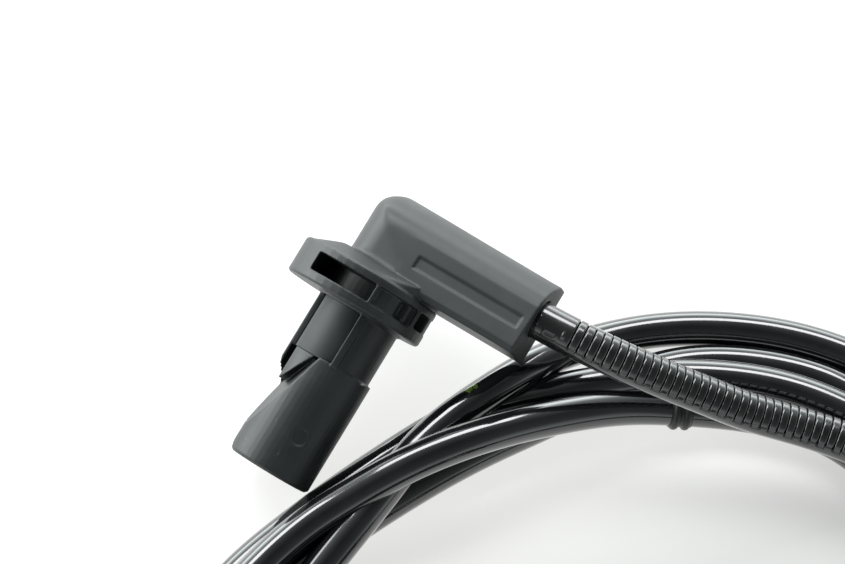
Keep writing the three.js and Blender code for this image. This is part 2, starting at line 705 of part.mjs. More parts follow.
const tailEnd = tailRoute.map((p) => new THREE.Vector3(...p));
tailEnd[tailEnd.length - 1].setX(plugEnd + clearance);
tailEnd[tailEnd.length - 1].setZ(plugHalfHeight);
const tail = new THREE.CatmullRomCurve3(tailEnd, false, 'centripetal');
addPiece(lead, 'outer_tube_tail', glossyTube, tubeAlong(tail, tubeRadius, 8, tubeSides));

function plugHousing() {
  const body = drawnAlongX(roundedRectangle(plugHalfWidth, plugHalfHeight, plugCorner), plugFront, plugEnd);
  const mouth = drawnAlongX(roundedRectangle(plugHalfWidth - shroudWall, plugHalfHeight - shroudWall,
    plugCorner - shroudWall), plugFront - 1, shroudFloor);
  const tower = drawnAlongX(roundedRectangle(towerHalfWidth, towerHalfHeight, towerCorner), towerFront,
    shroudFloor + 1);
  const chamber = drawnAlongX(roundedRectangle(rearChamberHalfWidth, rearChamberHalfHeight, towerCorner),
    chamberFloor, plugEnd + 1);
  let housing = body.subtract(mouth).add(tower).subtract(chamber);
  for (const side of [-1, 1]) {
    const y = (side * terminalSpacing) / 2;
    housing = housing.subtract(block(towerFront - 1, chamberFloor, y - terminalCavity, y + terminalCavity,
      -terminalCavity, terminalCavity));
    housing = housing.subtract(postX(wireSealRadius + clearance, chamberFloor - wireSealLength - clearance,
      chamberFloor + 0.1, y, 0, smallSides));
  }
  const lockSlot = block(lockFront - clearance, lockFront + lockWidth + clearance,
    plugHalfWidth - lockDepth - clearance, plugHalfWidth + 1,
    -lockHeight / 2 - clearance, lockHeight / 2 + clearance);
  const latchLow = plugHalfHeight + latchGap;
  const latch = block(plugEnd - latchLength, plugEnd, -latchWidth / 2, latchWidth / 2, latchLow,
    latchLow + latchThickness);
  const latchFoot = block(plugEnd - latchFootLength, plugEnd, -latchWidth / 2, latchWidth / 2, plugHalfHeight - 1, latchLow + 0.5);
  return housing.subtract(lockSlot).add(latch).add(latchFoot);
}

addPiece(plug, 'plug_housing', plugPlastic, plugHousing());
addPiece(plug, 'plug_terminal_lock', lockPlastic, block(lockFront, lockFront + lockWidth,
  plugHalfWidth - lockDepth, plugHalfWidth + lockProud,
  -lockHeight / 2, lockHeight / 2));

const sealInner = roundedRectangle(towerHalfWidth + clearance, towerHalfHeight + clearance, towerCorner + clearance);
const sealOuter = roundedRectangle(towerHalfWidth + sealThickness, towerHalfHeight + sealThickness,
  towerCorner + sealThickness);
addPiece(plug, 'plug_face_seal', sealSilicone,
  drawnAlongX(sealOuter, shroudFloor - clearance - sealWidth, shroudFloor - clearance)
    .subtract(drawnAlongX(sealInner, shroudFloor - sealWidth - 2, shroudFloor + 1)));

const terminalBack = chamberFloor - wireSealLength - 2 * clearance;
for (const [i, side] of [-1, 1].entries()) {
  const y = (side * terminalSpacing) / 2;
  addPiece(plug, `plug_terminal_${i + 1}`, tinnedMetal, block(terminalBack - terminalLength, terminalBack,
    y - terminalSize / 2, y + terminalSize / 2, -terminalSize / 2, terminalSize / 2));
  addPiece(plug, `plug_wire_seal_${i + 1}`, sealSilicone,
    postX(wireSealRadius, chamberFloor - wireSealLength, chamberFloor, y, 0, smallSides)
      .subtract(postX(coreRadius + clearance, chamberFloor - wireSealLength - 1, chamberFloor + 1, y, 0, coreSides)));
  const coreEnd = new THREE.Vector3(terminalBack + clearance, y, 0);
  const rootY = side * (coreRadius + coreRootGap);
  const coreStraight = new THREE.Vector3(chamberFloor + coreLeadOut, y, 0);
  const coreTurn = new THREE.Vector3(plugEnd - coreRootStraight, rootY, 0);
  const coreRoot = new THREE.Vector3(plugEnd, rootY, 0);
  const path = new THREE.CatmullRomCurve3([coreEnd, coreStraight, coreTurn, coreRoot], false, 'centripetal');
  addPiece(plug, `plug_core_${i + 1}`, coreColours[i], tubeAlong(path, coreRadius, 10, coreSides));
}

// Rubber boot over the lead's last stretch, tapering away from the plug
function plugBoot() {
  const inner = tubeRadius + clearance;
  const front = plugEnd + clearance;
  const outline = [[inner, front], [inner + bootWall, front], [inner + bootWall, front + 2],
    [inner + bootEndWall, front + bootLength], [inner, front + bootLength], [inner, front]];
  const geometry = new THREE.LatheGeometry(outline.map(([r, x]) => new THREE.Vector2(r, x)), roundSides / 2);
  geometry.rotateZ(-Math.PI / 2);
  return geometry;
}
addPiece(plug, 'plug_boot', sleeveRubber, plugBoot());

const sensor = new THREE.Group();
sensor.add(head, lead);
export default sensor;
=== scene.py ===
"""Looks of a wheel speed sensor with its coiled lead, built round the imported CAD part."""
import math

import bmesh
import bpy
import numpy as np
from bpy.props import FloatProperty, FloatVectorProperty, IntProperty, PointerProperty
from bpy.types import Operator, Panel, PropertyGroup
from mathutils import Matrix, Vector


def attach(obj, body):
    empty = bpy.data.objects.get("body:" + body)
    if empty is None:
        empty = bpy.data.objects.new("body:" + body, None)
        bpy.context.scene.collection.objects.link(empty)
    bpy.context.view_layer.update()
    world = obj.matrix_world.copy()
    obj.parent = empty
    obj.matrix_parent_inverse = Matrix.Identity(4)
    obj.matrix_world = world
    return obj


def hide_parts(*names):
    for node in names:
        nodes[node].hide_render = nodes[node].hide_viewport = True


bl_info = {
    "name": "Wheel Speed Sensor",
    "version": (1, 0, 0),
    "blender": (4, 5, 0),
    "location": "3D View > Sidebar > Sensor",
    "description": "Builds the looks of a wheel speed sensor and its lead",
    "category": "Object",
}

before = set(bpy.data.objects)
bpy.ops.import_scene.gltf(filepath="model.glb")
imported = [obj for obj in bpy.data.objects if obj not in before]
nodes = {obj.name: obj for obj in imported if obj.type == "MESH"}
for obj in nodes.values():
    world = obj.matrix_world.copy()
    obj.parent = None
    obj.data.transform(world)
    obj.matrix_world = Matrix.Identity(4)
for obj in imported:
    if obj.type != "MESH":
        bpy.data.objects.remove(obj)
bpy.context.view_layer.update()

MM = 0.001

# The camera: lens and film in millimetres, the point it looks at in millimetres,
# its height in degrees and its distance in metres
LENS = 98.41
FILM_WIDTH = 36.0
CAMERA_TARGET = (3.25, 6.97, 15.60)
CAMERA_ELEVATION = 64.5
CAMERA_DISTANCE = 0.330

# The head's own frame in the row frame: x along the arm, z from the tip up to the elbow
HEAD_ORIGIN = Vector((-6.788537, 3.539450, 13.966695)) * MM
HEAD_TURN = Matrix.Rotation(math.radians(-33), 3, "Z") @ Matrix.Rotation(math.radians(-72), 3, "X")
HEAD = Matrix.Translation(HEAD_ORIGIN) @ HEAD_TURN.to_4x4()
LEAD_ORIGIN = Vector((HEAD_ORIGIN.x, HEAD_ORIGIN.y, 0.0))

# Along the arm in the head's frame, in millimetres: its end, where the lead begins inside it,
# the lead's height in it, and how deep the sleeve sits in it
ARM_END = 24.1
STRIP = 14.0
EXIT_HEIGHT = 12.1
SLEEVE_SEAT = 2.2

# The lead from the head to the coil, in millimetres, in plan from the head's own origin
LEAD_ROUTE = [
    (31.2, -6.15, 17.5), (36.3, -8.5, 16.6), (44.6, -11.4, 14.4), (50.3, -13.1, 12.8),
    (55.8, -14.8, 11.3), (61.5, -16.0, 10.2), (67.4, -17.6, 9.5), (74.0, -20.4, 9.1),
]

# Outer edge of the coil in plan, clockwise, in millimetres
COIL_EDGE = [
    (-18.8, -34.3), (7.4, -12.9), (28.0, -1.2), (50.5, 4.0), (72.0, 0.7), (90.0, -12.5),
    (99.3, -36.0), (92.5, -64.0), (70.0, -87.0), (38.0, -97.5), (5.0, -94.5), (-20.5, -80.0),
    (-30.0, -57.5),
]

# How each turn lies: share of the way round the edge, distance in from it and height in millimetres
TURN_LAYS = [
    [
        (0.385, 16.3, 9.0), (0.43, 17.8, 6.4), (0.50, 16.8, 2.7), (0.58, 13.0, 2.6),
        (0.93, 13.0, 2.6), (1.00, 12.6, 3.8), (1.0366, 11.3, 6.2), (1.0524, 10.1, 7.2),
        (1.078, 7.4, 7.7), (1.0876, 6.1, 7.8), (1.106, 4.9, 7.8), (1.1214, 4.6, 7.8),
        (1.142, 3.7, 7.3), (1.1751, 1.8, 3.7), (1.1924, 1.4, 2.6), (1.2158, 1.7, 2.6),
        (1.2398, 2.05, 2.6), (1.2859, 2.5, 2.6), (1.33, 2.6, 2.6),
    ],
    [
        (0.40, 2.6, 2.6), (0.93, 2.6, 2.6), (0.9985, 2.9, 2.6), (1.0317, 3.6, 2.6),
        (1.0627, 3.5, 2.6), (1.0924, 3.4, 2.6), (1.1077, 3.4, 2.6), (1.13, 4.9, 2.8),
        (1.1491, 6.9, 4.2), (1.1664, 8.8, 6.0), (1.1927, 10.2, 6.6), (1.2165, 11.0, 6.2),
        (1.2472, 11.6, 5.9), (1.2954, 12.3, 5.8), (1.35, 11.9, 5.8),
    ],
    [
        (0.42, 13.0, 4.2), (0.50, 11.6, 2.6), (0.58, 7.8, 2.6), (0.93, 7.8, 2.6),
        (1.0317, 8.7, 2.6), (1.09, 9.2, 2.6), (1.15, 10.6, 2.6), (1.185, 8.6, 2.6),
        (1.2193, 7.2, 2.6), (1.2518, 7.4, 2.6), (1.30, 7.7, 2.6),
    ],
    [
        (0.42, 7.8, 2.6), (0.50, 7.1, 5.2), (0.58, 5.2, 7.1), (0.93, 5.2, 7.1), (1.0165, 6.0, 7.1),
        (1.0342, 6.0, 7.4), (1.0558, 7.1, 8.8), (1.0785, 8.2, 11.0), (1.1015, 9.9, 11.6),
        (1.1269, 11.5, 10.0), (1.1497, 12.6, 8.0), (1.1702, 13.1, 6.2), (1.1901, 13.6, 4.2),
        (1.2155, 14.8, 2.8), (1.2398, 15.3, 2.6), (1.2658, 15.8, 2.6), (1.3032, 15.7, 2.6),
        (1.35, 16.6, 2.6),
    ],
]

# From the coil to the plug, in the same plan
TAIL_ROUTE = [
    (79.2, -41.2, 2.75), (76.4, -47.5, 3.2), (72.0, -53.2, 4.2), (66.6, -57.6, 5.4),
    (60.0, -60.2, 6.0), (53.5, -61.0, 6.2), (44.3, -61.0, 6.0),
]

# Steps round a turn and of its tangent, as shares of the whole way round
TURN_STEP = 0.011
TANGENT_STEP = 0.004

# Points between two of the edge's and of the lead's, steps along a line in metres,
# rounds of easing, and points over which the lead leaves the arm's straight line
EDGE_SPAN = 200
LEAD_SPAN = 12
LEAD_STEP = 0.001
FINE_STEP = 0.0001
LEAD_EASING = 30
SLEEVE_EASING = 200
LEAD_BLEND = 60

# Sides of the lead and collar, and how far the tube reaches under the sleeve's end in metres
LEAD_SIDES = 24
COLLAR_SIDES = 48
TUBE_LAP = 0.0015

# Specks of dust and scratches on the head, in its own frame in millimetres: centre and half sizes
WHITE_SPECKS = [
    ((-5.6, -4.0, -10.6), (0.22, 2.0, 0.22)), ((-2.0, -3.5, -23.5), (0.16, 2.0, 0.16)),
    ((7.6, -1.0, -8.6), (0.45, 2.0, 0.30)), ((-4.2, -3.0, -21.4), (0.12, 2.0, 0.12)),
]
SCRATCHES = [
    ((3.4, -4.0, -22.9), (0.10, 3.0, 0.55)), ((3.1, -4.0, -23.4), (0.42, 3.0, 0.08)),
    ((0.6, -4.0, -19.0), (0.08, 3.0, 0.5)), ((12.2, -5.0, 16.2), (0.3, 3.0, 0.10)),
]

SPECK_COLOUR = (0.62, 0.62, 0.60)
SPECK_STRENGTH = 0.85
SCRATCH_COLOUR = (0.16, 0.17, 0.17)
SCRATCH_STRENGTH = 0.6

# The bend relief sleeve: lengths in millimetres, and the angles of its plain spine in degrees
# from the north side
SLEEVE_SIDES = 96
PLAIN_SLEEVE = 5.4
SLOT_WIDTH = 0.13
SLOT_DEPTH = 0.30
SPINE_ANGLE = 187
SPINE_HALF = 29
SPINE_EDGE = 4

# Where the rings of points lie about a slot, in slot widths
SLOT_STATIONS = (-2.4, -1.1, -0.95, -0.5, 0.5, 0.95, 1.1, 2.4)
# Near-black painted shade laid into the slots' cores, where the recesses fall dark
SLOT_SHADE_COLOUR = (0.002, 0.002, 0.002)

# The sleeve's gloss, outside its slots
SLEEVE_GLOSS = 0.8

# A slot's edge and the width of its wall in slot widths, and where the slots join in pairs,
# in degrees past the spine's edge
SLOT_EDGE = 0.95
SLOT_WALL = 0.45
JOIN_PLACE = 2
JOIN_HALF = 3.9

# Steps along the sleeve in metres: where it is plain, at a moulded mark and the least one, and
# its plain far end
SLEEVE_STEP = 0.0004
MARK_STEP = 0.00009
LEAST_STEP = 0.00002
PLAIN_END = 0.0005

# Moulded marks near the sleeve's root: from, to, left and right angle, and height
SLEEVE_MARKS = [
    (1.4, 3.6, 124, 130, 0.10), (1.4, 3.6, 143, 149, 0.10), (1.4, 1.75, 130, 143, 0.10),
    (3.25, 3.6, 130, 143, 0.10), (4.1, 4.5, 112, 128, 0.14), (0.25, 0.5, 100, 108, 0.12),
    (0.25, 0.5, 116, 124, 0.12), (0.25, 0.5, 132, 140, 0.12),
]

# A dab of green paint on the lead, in the row frame in metres: centre and half sizes
PAINT_DABS = [
    ((0.0098, -0.0073, 0.0098), (0.0006, 0.0007, 0.0008)),
    ((0.0107, -0.0068, 0.0099), (0.0005, 0.0006, 0.0008)),
]

# The paint's colour and strength, and the strength of the drawn lines on the tube
PAINT_COLOUR = (0.15, 0.24, 0.04)
PAINT_STRENGTH = 0.85
STREAK_STRENGTH = 0.6

# A ribbed collar on the last turn: the places of its ribs along the lead, its ends past them and
# a rib's half width in millimetres, its thickness and a rib's height in metres
COLLAR_RIBS = (1267.7, 1269.4)
COLLAR_MARGIN = 0.8
RIB_HALF = 0.55
COLLAR_SKIN = 0.00012
RIB_RISE = 0.00042

# The solid that runs from the carrier down to the ramp, in the head's frame in millimetres
CARRIER_AXIS = 1.35
CARRIER_RADIUS = 5.5
FILL_TOP = -8.6
FILL_BACK = 2.0
FILL_RINGS = 14
FILL_LINE = ((0.3, -8.7), (-2.6, -13.2), (-3.3, -13.8))

# Centre and half sizes of the nub of flash, in the same frame
FLASH_NUB = ((7.5, -0.6, -8.7), (0.45, 0.9, 0.45))

# Where the head's top is smoothed once more, in the same frame: the arm's limits, the elbow's,
# and the width over which it fades out
TOP_HEIGHT = 13.6
TOP_BACK = 5.2
TOP_FRONT = -4.9
TOP_MARGIN = 0.9
ELBOW_SIDE = 4.4
ELBOW_HEIGHT = 6.5
TOP_FADE = 0.8
TOP_FRONT_FADE = 0.6

# Rounds of that smoothing, and the share of the head's faces that is kept
TOP_ROUNDS = 120
KEPT_FACES = 0.31

# Rounded copies: distance in metres at which points are one, and angles in degrees
WELD_DISTANCE = 0.000001
BEVEL_ANGLE = 40
SHARP_ANGLE = 35

# The plug's rounded copies: piece, node, material, slot and the edges' radius in metres
PLUG_PIECES = (
    ("connector_shell", "plug_housing", "plug_plastic", "plug_plastic", 0.00015),
    ("connector_boot", "plug_boot", "boot_rubber", "sleeve_rubber", 0.0003),
    ("connector_lock", "plug_terminal_lock", "lock_plastic", "lock_plastic", 0.0001),
    ("connector_seal", "plug_face_seal", "seal_silicone", "seal_silicone", 0.0002),
    ("wire_seal_1", "plug_wire_seal_1", "seal_silicone", "seal_silicone", 0.0001),
    ("wire_seal_2", "plug_wire_seal_2", "seal_silicone", "seal_silicone", 0.0001),
)

# The plug's CAD nodes, listed with the plug's pieces when the lead is laid
PLUG_NODES = ("plug_core_1", "plug_core_2", "plug_terminal_1", "plug_terminal_2")

# The CAD nodes that are shown as they are, and the material of each
SHOWN_NODES = {
    "hall_chip": "chip_moulding",
    "bias_magnet": "magnet_metal",
    "filter_capacitor": "capacitor_body",
    "chip_lead_1": "tinned_metal",
    "chip_lead_2": "tinned_metal",
    "crimp_sleeve_1": "tinned_metal",
    "crimp_sleeve_2": "tinned_metal",
    "head_core_1": "brown_core",
    "head_core_2": "black_core",
    "plug_core_1": "brown_core",
    "plug_core_2": "black_core",
    "plug_terminal_1": "tinned_metal",
    "plug_terminal_2": "tinned_metal",
}

# Of each material: colour (or none where a setting has it), colour of dust, share of dust,
# roughness, grain scale, relief, specular and coat
FINISHES = {
    "housing_plastic": (None, (0.10, 0.11, 0.11), 0.08, 0.46, 9000.0, 0.12, 0.6, 0.0),
    "glossy_tube": (None, (0.25, 0.26, 0.26), 0.02, 0.13, 1500.0, 0.04, 0.8, 1.0),
    "sleeve_rubber": (None, (0.3, 0.31, 0.31), 0.03, 0.18, 2500.0, 0.06, 0.8, 0.8),
    "collar_rubber": (None, (0.3, 0.31, 0.31), 0.06, 0.35, 3000.0, 0.08, 0.5, 0.1),
    "carrier_plastic": (
        (0.019, 0.024, 0.025), (0.2, 0.2, 0.2), 0.04, 0.52, 7000.0, 0.1, 0.5, 0.0),
    "chip_moulding": (
        (0.012, 0.012, 0.013), (0.2, 0.2, 0.2), 0.05, 0.35, 12000.0, 0.1, 0.5, 0.0),
    "capacitor_body": ((0.33, 0.20, 0.09), (0.4, 0.35, 0.3), 0.1, 0.5, 8000.0, 0.1, 0.5, 0.0),
    "brown_core": ((0.10, 0.045, 0.02), (0.3, 0.25, 0.2), 0.05, 0.45, 6000.0, 0.05, 0.5, 0.0),
    "black_core": ((0.012, 0.012, 0.013), (0.2, 0.2, 0.2), 0.05, 0.45, 6000.0, 0.05, 0.5, 0.0),
    "plug_plastic": ((0.022, 0.023, 0.024), (0.2, 0.2, 0.2), 0.08, 0.4, 8000.0, 0.1, 0.5, 0.0),
    "boot_rubber": ((0.015, 0.015, 0.016), (0.2, 0.2, 0.2), 0.08, 0.5, 5000.0, 0.1, 0.5, 0.0),
    "seal_silicone": ((0.45, 0.09, 0.025), (0.5, 0.3, 0.2), 0.08, 0.42, 4000.0, 0.08, 0.5, 0.0),
    "lock_plastic": ((0.60, 0.58, 0.52), (0.4, 0.38, 0.34), 0.1, 0.4, 7000.0, 0.08, 0.5, 0.0),
    "magnet_metal": (
        (0.25, 0.26, 0.27), (0.35, 0.34, 0.32), 0.15, 0.4, 5000.0, 0.08, 0.5, 0.0),
    "tinned_metal": (
        (0.62, 0.63, 0.64), (0.35, 0.34, 0.32), 0.15, 0.32, 5000.0, 0.08, 0.5, 0.0),
}
METALS = ("magnet_metal", "tinned_metal")
RELIEF_DISTANCE = 0.00005
COAT_ROUGHNESS = 0.06

# The stage, in metres: half the floor's side, each lamp's place and sides, the painted shade by
# which the floor glows less in front, and how much more it glows far behind
FLOOR_REACH = 3.0
KEY_LAMP = ((-0.08, 0.66, 0.82), 1.1, 0.32)
SIDE_LAMP = ((-0.85, 0.25, 0.42), 0.60, 0.50)
FRONT_PAINTED_SHADE = 0.32
FAR_GLOW = 2.6

# The sky: its brightness by height, and the way to its brightest side
SKY_STOPS = ((0.0, 1.0), (0.20, 0.72), (0.42, 0.22), (1.0, 0.07))
SKY_DIRECTION = (-0.45, 0.89, 0.0)


class HeadSettings(PropertyGroup):
    """Sizes and colours of the moulded head."""

    grid: FloatProperty(
        name="Surface Grid",
        description="Distance between the points of the head's moulded surface",
        default=0.00014, min=0.0001, max=0.001, unit="LENGTH", precision=5)
    rounding: IntProperty(
        name="Edge Rounding",
        description="How many times the moulded edges are softened",
        default=4, min=0, max=20)
    colour: FloatVectorProperty(
        name="Plastic",
        description="Colour of the glass-filled plastic",
        default=(0.0172, 0.0214, 0.0220), subtype="COLOR", min=0, max=1)
    grain: FloatProperty(
        name="Grain",
        description="Depth of the moulded grain",
        default=0.12, min=0, max=1, subtype="FACTOR")


class LeadSettings(PropertyGroup):
    """Sizes and colours of the lead and its bend relief sleeve."""

    cable_diameter: FloatProperty(
        name="Cable Diameter",
        description="Outer diameter of the glossy tube",
        default=0.0052, min=0.003, max=0.01, unit="LENGTH", precision=4)
    core_diameter: FloatProperty(
        name="Inner Diameter",
        description="Diameter of the cable inside the sleeve and the head",
        default=0.0036, min=0.002, max=0.006, unit="LENGTH", precision=4)
    sleeve_diameter: FloatProperty(
        name="Sleeve Diameter",
        description="Outer diameter of the bend relief sleeve",
        default=0.0056, min=0.004, max=0.01, unit="LENGTH", precision=4)
    sleeve_length: FloatProperty(
        name="Sleeve Length",
        description="Length of the sleeve outside the head",
        default=0.062, min=0.02, max=0.12, unit="LENGTH", precision=4)
    slot_pitch: FloatProperty(
        name="Slot Pitch",
        description="Distance between the slots round the sleeve",
        default=0.00125, min=0.0008, max=0.005, unit="LENGTH", precision=5)
    tube_colour: FloatVectorProperty(
        name="Tube",
        description="Colour of the glossy tube",
        default=(0.0050, 0.0055, 0.0070), subtype="COLOR", min=0, max=1)
    sleeve_colour: FloatVectorProperty(
        name="Sleeve",
        description="Colour of the sleeve",
        default=(0.0070, 0.0080, 0.0082), subtype="COLOR", min=0, max=1)


class StageSettings(PropertyGroup):
    """Floor and lamps."""

    floor_colour: FloatVectorProperty(
        name="Floor",
        description="Colour of the floor",
        default=(0.34, 0.345, 0.34), subtype="COLOR", min=0, max=1)
    key_power: FloatProperty(
        name="Key Power",
        description="Power of the large lamp above, in watts",
        default=9.0, min=0)
    side_power: FloatProperty(
        name="Side Power",
        description="Power of the low lamp on the left, in watts",
        default=4.0, min=0)
    north_light: FloatProperty(
        name="Horizon Light",
        description="Brightness of the sky's rim behind the sensor",
        default=6.5, min=0)
    floor_glow: FloatProperty(
        name="Floor Glow",
        description="How far the white floor is overexposed",
        default=0.75, min=0)


def from_head(x, y, z):
    """A point of the head's frame in millimetres, in the row frame in metres."""
    return HEAD @ (Vector((x, y, z)) * MM)


def fade(values, start, width):
    """0 up to the start, and 1 from that width past it."""
    return np.clip((values - start) / width, 0, 1)


def smooth_line(points, per_span, closed=False):
    """A centripetal Catmull-Rom line through the points, as an array."""
    p = np.array(points, float)
    count = len(p)
    if closed:
        p = np.vstack([p[-1:], p, p[:2]])
    else:
        p = np.vstack([2 * p[0] - p[1], p, 2 * p[-1] - p[-2]])
        count -= 1
    line = []
    for i in range(count):
        a, b, c, d = p[i:i + 4]
        ta = 0.0
        tb = ta + np.linalg.norm(b - a) ** 0.5
        tc = tb + np.linalg.norm(c - b) ** 0.5
        td = tc + np.linalg.norm(d - c) ** 0.5
        for t in np.linspace(tb, tc, per_span, endpoint=False):
            ab = ((tb - t) * a + (t - ta) * b) / (tb - ta)
            bc = ((tc - t) * b + (t - tb) * c) / (tc - tb)
            cd = ((td - t) * c + (t - tc) * d) / (td - tc)
            abc = ((tc - t) * ab + (t - ta) * bc) / (tc - ta)
            bcd = ((td - t) * bc + (t - tb) * cd) / (td - tb)
            line.append(((tc - t) * abc + (t - tb) * bcd) / (tc - tb))
    if not closed:
        line.append(p[-2])
    return np.array(line)


def smooth_keys(at, places, values):
    """Values between the keys, by a monotone cubic."""
    slope = np.diff(values) / np.diff(places)
    tangent = np.zeros(len(values))
    for i in range(1, len(values) - 1):
        if slope[i - 1] * slope[i] > 0:
            tangent[i] = 2 * slope[i - 1] * slope[i] / (slope[i - 1] + slope[i])
    i = np.clip(np.searchsorted(places, at, side="right") - 1, 0, len(places) - 2)
    width = places[i + 1] - places[i]
    t = (at - places[i]) / width
    return ((2 * t ** 3 - 3 * t ** 2 + 1) * values[i]
            + (t ** 3 - 2 * t ** 2 + t) * width * tangent[i]
            + (-2 * t ** 3 + 3 * t ** 2) * values[i + 1]
            + (t ** 3 - t ** 2) * width * tangent[i + 1])


def travelled(line):
    """Distance along the line at each of its points."""
    return np.concatenate([[0.0], np.cumsum(np.linalg.norm(np.diff(line, axis=0), axis=1))])


def points_at(line, far, at):
    """Points of the line at those distances, far being the distance of each of its own."""
    return np.stack([np.interp(at, far, line[:, k]) for k in range(3)], axis=1)


def evenly(line, step):
    """The line again with points at about that distance, and its length."""
    far = travelled(line)
    count = max(2, int(round(far[-1] / step)) + 1)
    return points_at(line, far, np.linspace(0.0, far[-1], count)), far[-1]


def eased(line, rounds):
    """The line with its small kinks taken out, its ends kept."""
    line = line.copy()
    for _ in range(rounds):
        line[1:-1] = 0.5 * line[1:-1] + 0.25 * (line[:-2] + line[2:])
    return line


def sides_along(line):
    """Sideways and upwards at each point of the line, sideways kept level."""
    along = np.gradient(line, axis=0)
    along /= np.linalg.norm(along, axis=1, keepdims=True)
    sideways = np.cross(np.array([0.0, 0.0, 1.0]), along)
    sideways /= np.linalg.norm(sideways, axis=1, keepdims=True)
    return sideways, np.cross(along, sideways)


def new_object(name, mesh, material):
    """An object of the mesh with that material, in the scene."""
    obj = bpy.data.objects.new(name, mesh)
    bpy.context.scene.collection.objects.link(obj)
    mesh.materials.append(material)
    return obj


def swept(name, line, radii, sides, material):
    """A capped tube along the line, with UVs of its turn and its distance along in metres.

    radii has a radius for each point, or for each point and side.
    """
    sideways, upwards = sides_along(line)
    radii = np.broadcast_to(np.asarray(radii, float).reshape(len(line), -1), (len(line), sides))
    angle = np.arange(sides) * 2 * math.pi / sides
    ring = (np.cos(angle)[None, :, None] * sideways[:, None, :]
            + np.sin(angle)[None, :, None] * upwards[:, None, :])
    points = (line[:, None, :] + radii[:, :, None] * ring).reshape(-1, 3)
    rows = np.arange(len(line) - 1)[:, None] * sides
    k = np.arange(sides)[None, :]
    k2 = (k + 1) % sides
    faces = np.stack([rows + k, rows + k2, rows + sides + k2, rows + sides + k], axis=-1)
    faces = faces.reshape(-1, 4).tolist()
    last = (len(line) - 1) * sides
    faces.append(list(range(sides))[::-1])
    faces.append([last + i for i in range(sides)])
    mesh = bpy.data.meshes.new(name)
    mesh.from_pydata(points.tolist(), [], faces)
    mesh.polygons.foreach_set("use_smooth", [len(p.vertices) == 4 for p in mesh.polygons])
    far = travelled(line)
    u = np.stack([k, k + 1, k + 1, k], axis=-1) / sides * np.ones((len(line) - 1, 1, 1))
    v = np.stack([far[:-1], far[:-1], far[1:], far[1:]], axis=-1)[:, None, :]
    v = v * np.ones((1, sides, 1))
    uv = np.zeros((len(mesh.loops), 2))
    uv[:u.size] = np.stack([u.reshape(-1), v.reshape(-1)], axis=1)
    mesh.uv_layers.new(name="along").data.foreach_set("uv", uv.reshape(-1))
    mesh.update()
    return new_object(name, mesh, material)


def apply_modifiers(obj):
    """The object's mesh becomes what its modifiers make of it."""
    graph = bpy.context.evaluated_depsgraph_get()
    made = bpy.data.meshes.new_from_object(obj.evaluated_get(graph), depsgraph=graph)
    obj.modifiers.clear()
    old = obj.data
    obj.data = made
    bpy.data.meshes.remove(old)


def all_smooth(mesh):
    mesh.polygons.foreach_set("use_smooth", [True] * len(mesh.polygons))


def rounded_piece(name, node_name, material_name, slot, edge):
    """A piece in a CAD node's place: the same shape with small round edges and smooth curves."""
    mesh = nodes[node_name].data.copy()
    mesh.materials.clear()
    work = bmesh.new()
    work.from_mesh(mesh)
    bmesh.ops.remove_doubles(work, verts=work.verts, dist=WELD_DISTANCE)
    work.to_mesh(mesh)
    work.free()
    piece = new_object(name, mesh, finish(material_name))
    bevel = piece.modifiers.new("edges", "BEVEL")
    bevel.width = edge
    bevel.segments = 2
    bevel.limit_method = "ANGLE"
    bevel.angle_limit = math.radians(BEVEL_ANGLE)
    apply_modifiers(piece)
    all_smooth(piece.data)
    piece.data.set_sharp_from_angle(angle=math.radians(SHARP_ANGLE))
    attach(piece, "root")
    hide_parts(node_name)


made_once = {}


def shared(key, maker):
    """What the maker makes, made when it is first asked for."""
    if key not in made_once:
        made_once[key] = maker()
    return made_once[key]


def finish(name):
    """The material of that name in FINISHES, the same one each time."""
    return shared(name, lambda: moulded(name))


def new_group(name, inputs, outputs):
    """An empty shader node group with those sockets, and its two end nodes."""
    group = bpy.data.node_groups.new(name, "ShaderNodeTree")
    for label, kind, value in inputs:
        socket = group.interface.new_socket(label, in_out="INPUT", socket_type=kind)
        if value is not None:
            socket.default_value = value
    for label, kind in outputs:
        group.interface.new_socket(label, in_out="OUTPUT", socket_type=kind)
    return group, group.nodes.new("NodeGroupInput"), group.nodes.new("NodeGroupOutput")


def feed(tree, socket, value):
    """Links a value that is a socket itself, and sets any other."""
    if isinstance(value, bpy.types.NodeSocket):
        tree.links.new(value, socket)
    else:
        socket.default_value = value


def coordinates(tree, kind):
    return tree.nodes.new("ShaderNodeTexCoord").outputs[kind]


def split(tree, vector):
    """The three numbers of a vector."""
    parts = tree.nodes.new("ShaderNodeSeparateXYZ")
    tree.links.new(vector, parts.inputs["Vector"])
    return parts.outputs["X"], parts.outputs["Y"], parts.outputs["Z"]


def noise(tree, vector, scale, detail, roughness):
    node = tree.nodes.new("ShaderNodeTexNoise")
    feed(tree, node.inputs["Vector"], vector)
    feed(tree, node.inputs["Scale"], scale)
    node.inputs["Detail"].default_value = detail
    node.inputs["Roughness"].default_value = roughness
    return node.outputs["Fac"]


def ramp(tree, value, low, high, from_value=0.0, to_value=1.0):
    """The value's place between low and high, carried over to the other two values."""
    node = tree.nodes.new("ShaderNodeMapRange")
    for label, number in (("Value", value), ("From Min", low), ("From Max", high),
                          ("To Min", from_value), ("To Max", to_value)):
        feed(tree, node.inputs[label], number)
    return node.outputs["Result"]


def operated(tree, kind, operation, values):
    """A node of that kind and operation, its first inputs fed with the values."""
    node = tree.nodes.new(kind)
    node.operation = operation
    for socket, value in zip(node.inputs, values):
        feed(tree, socket, value)
    return node


def maths(tree, operation, *values):
    return operated(tree, "ShaderNodeMath", operation, values).outputs["Value"]


def plus(tree, a, b):
    return maths(tree, "ADD", a, b)


def minus(tree, a, b):
    return maths(tree, "SUBTRACT", a, b)


def times(tree, a, b):
    return maths(tree, "MULTIPLY", a, b)


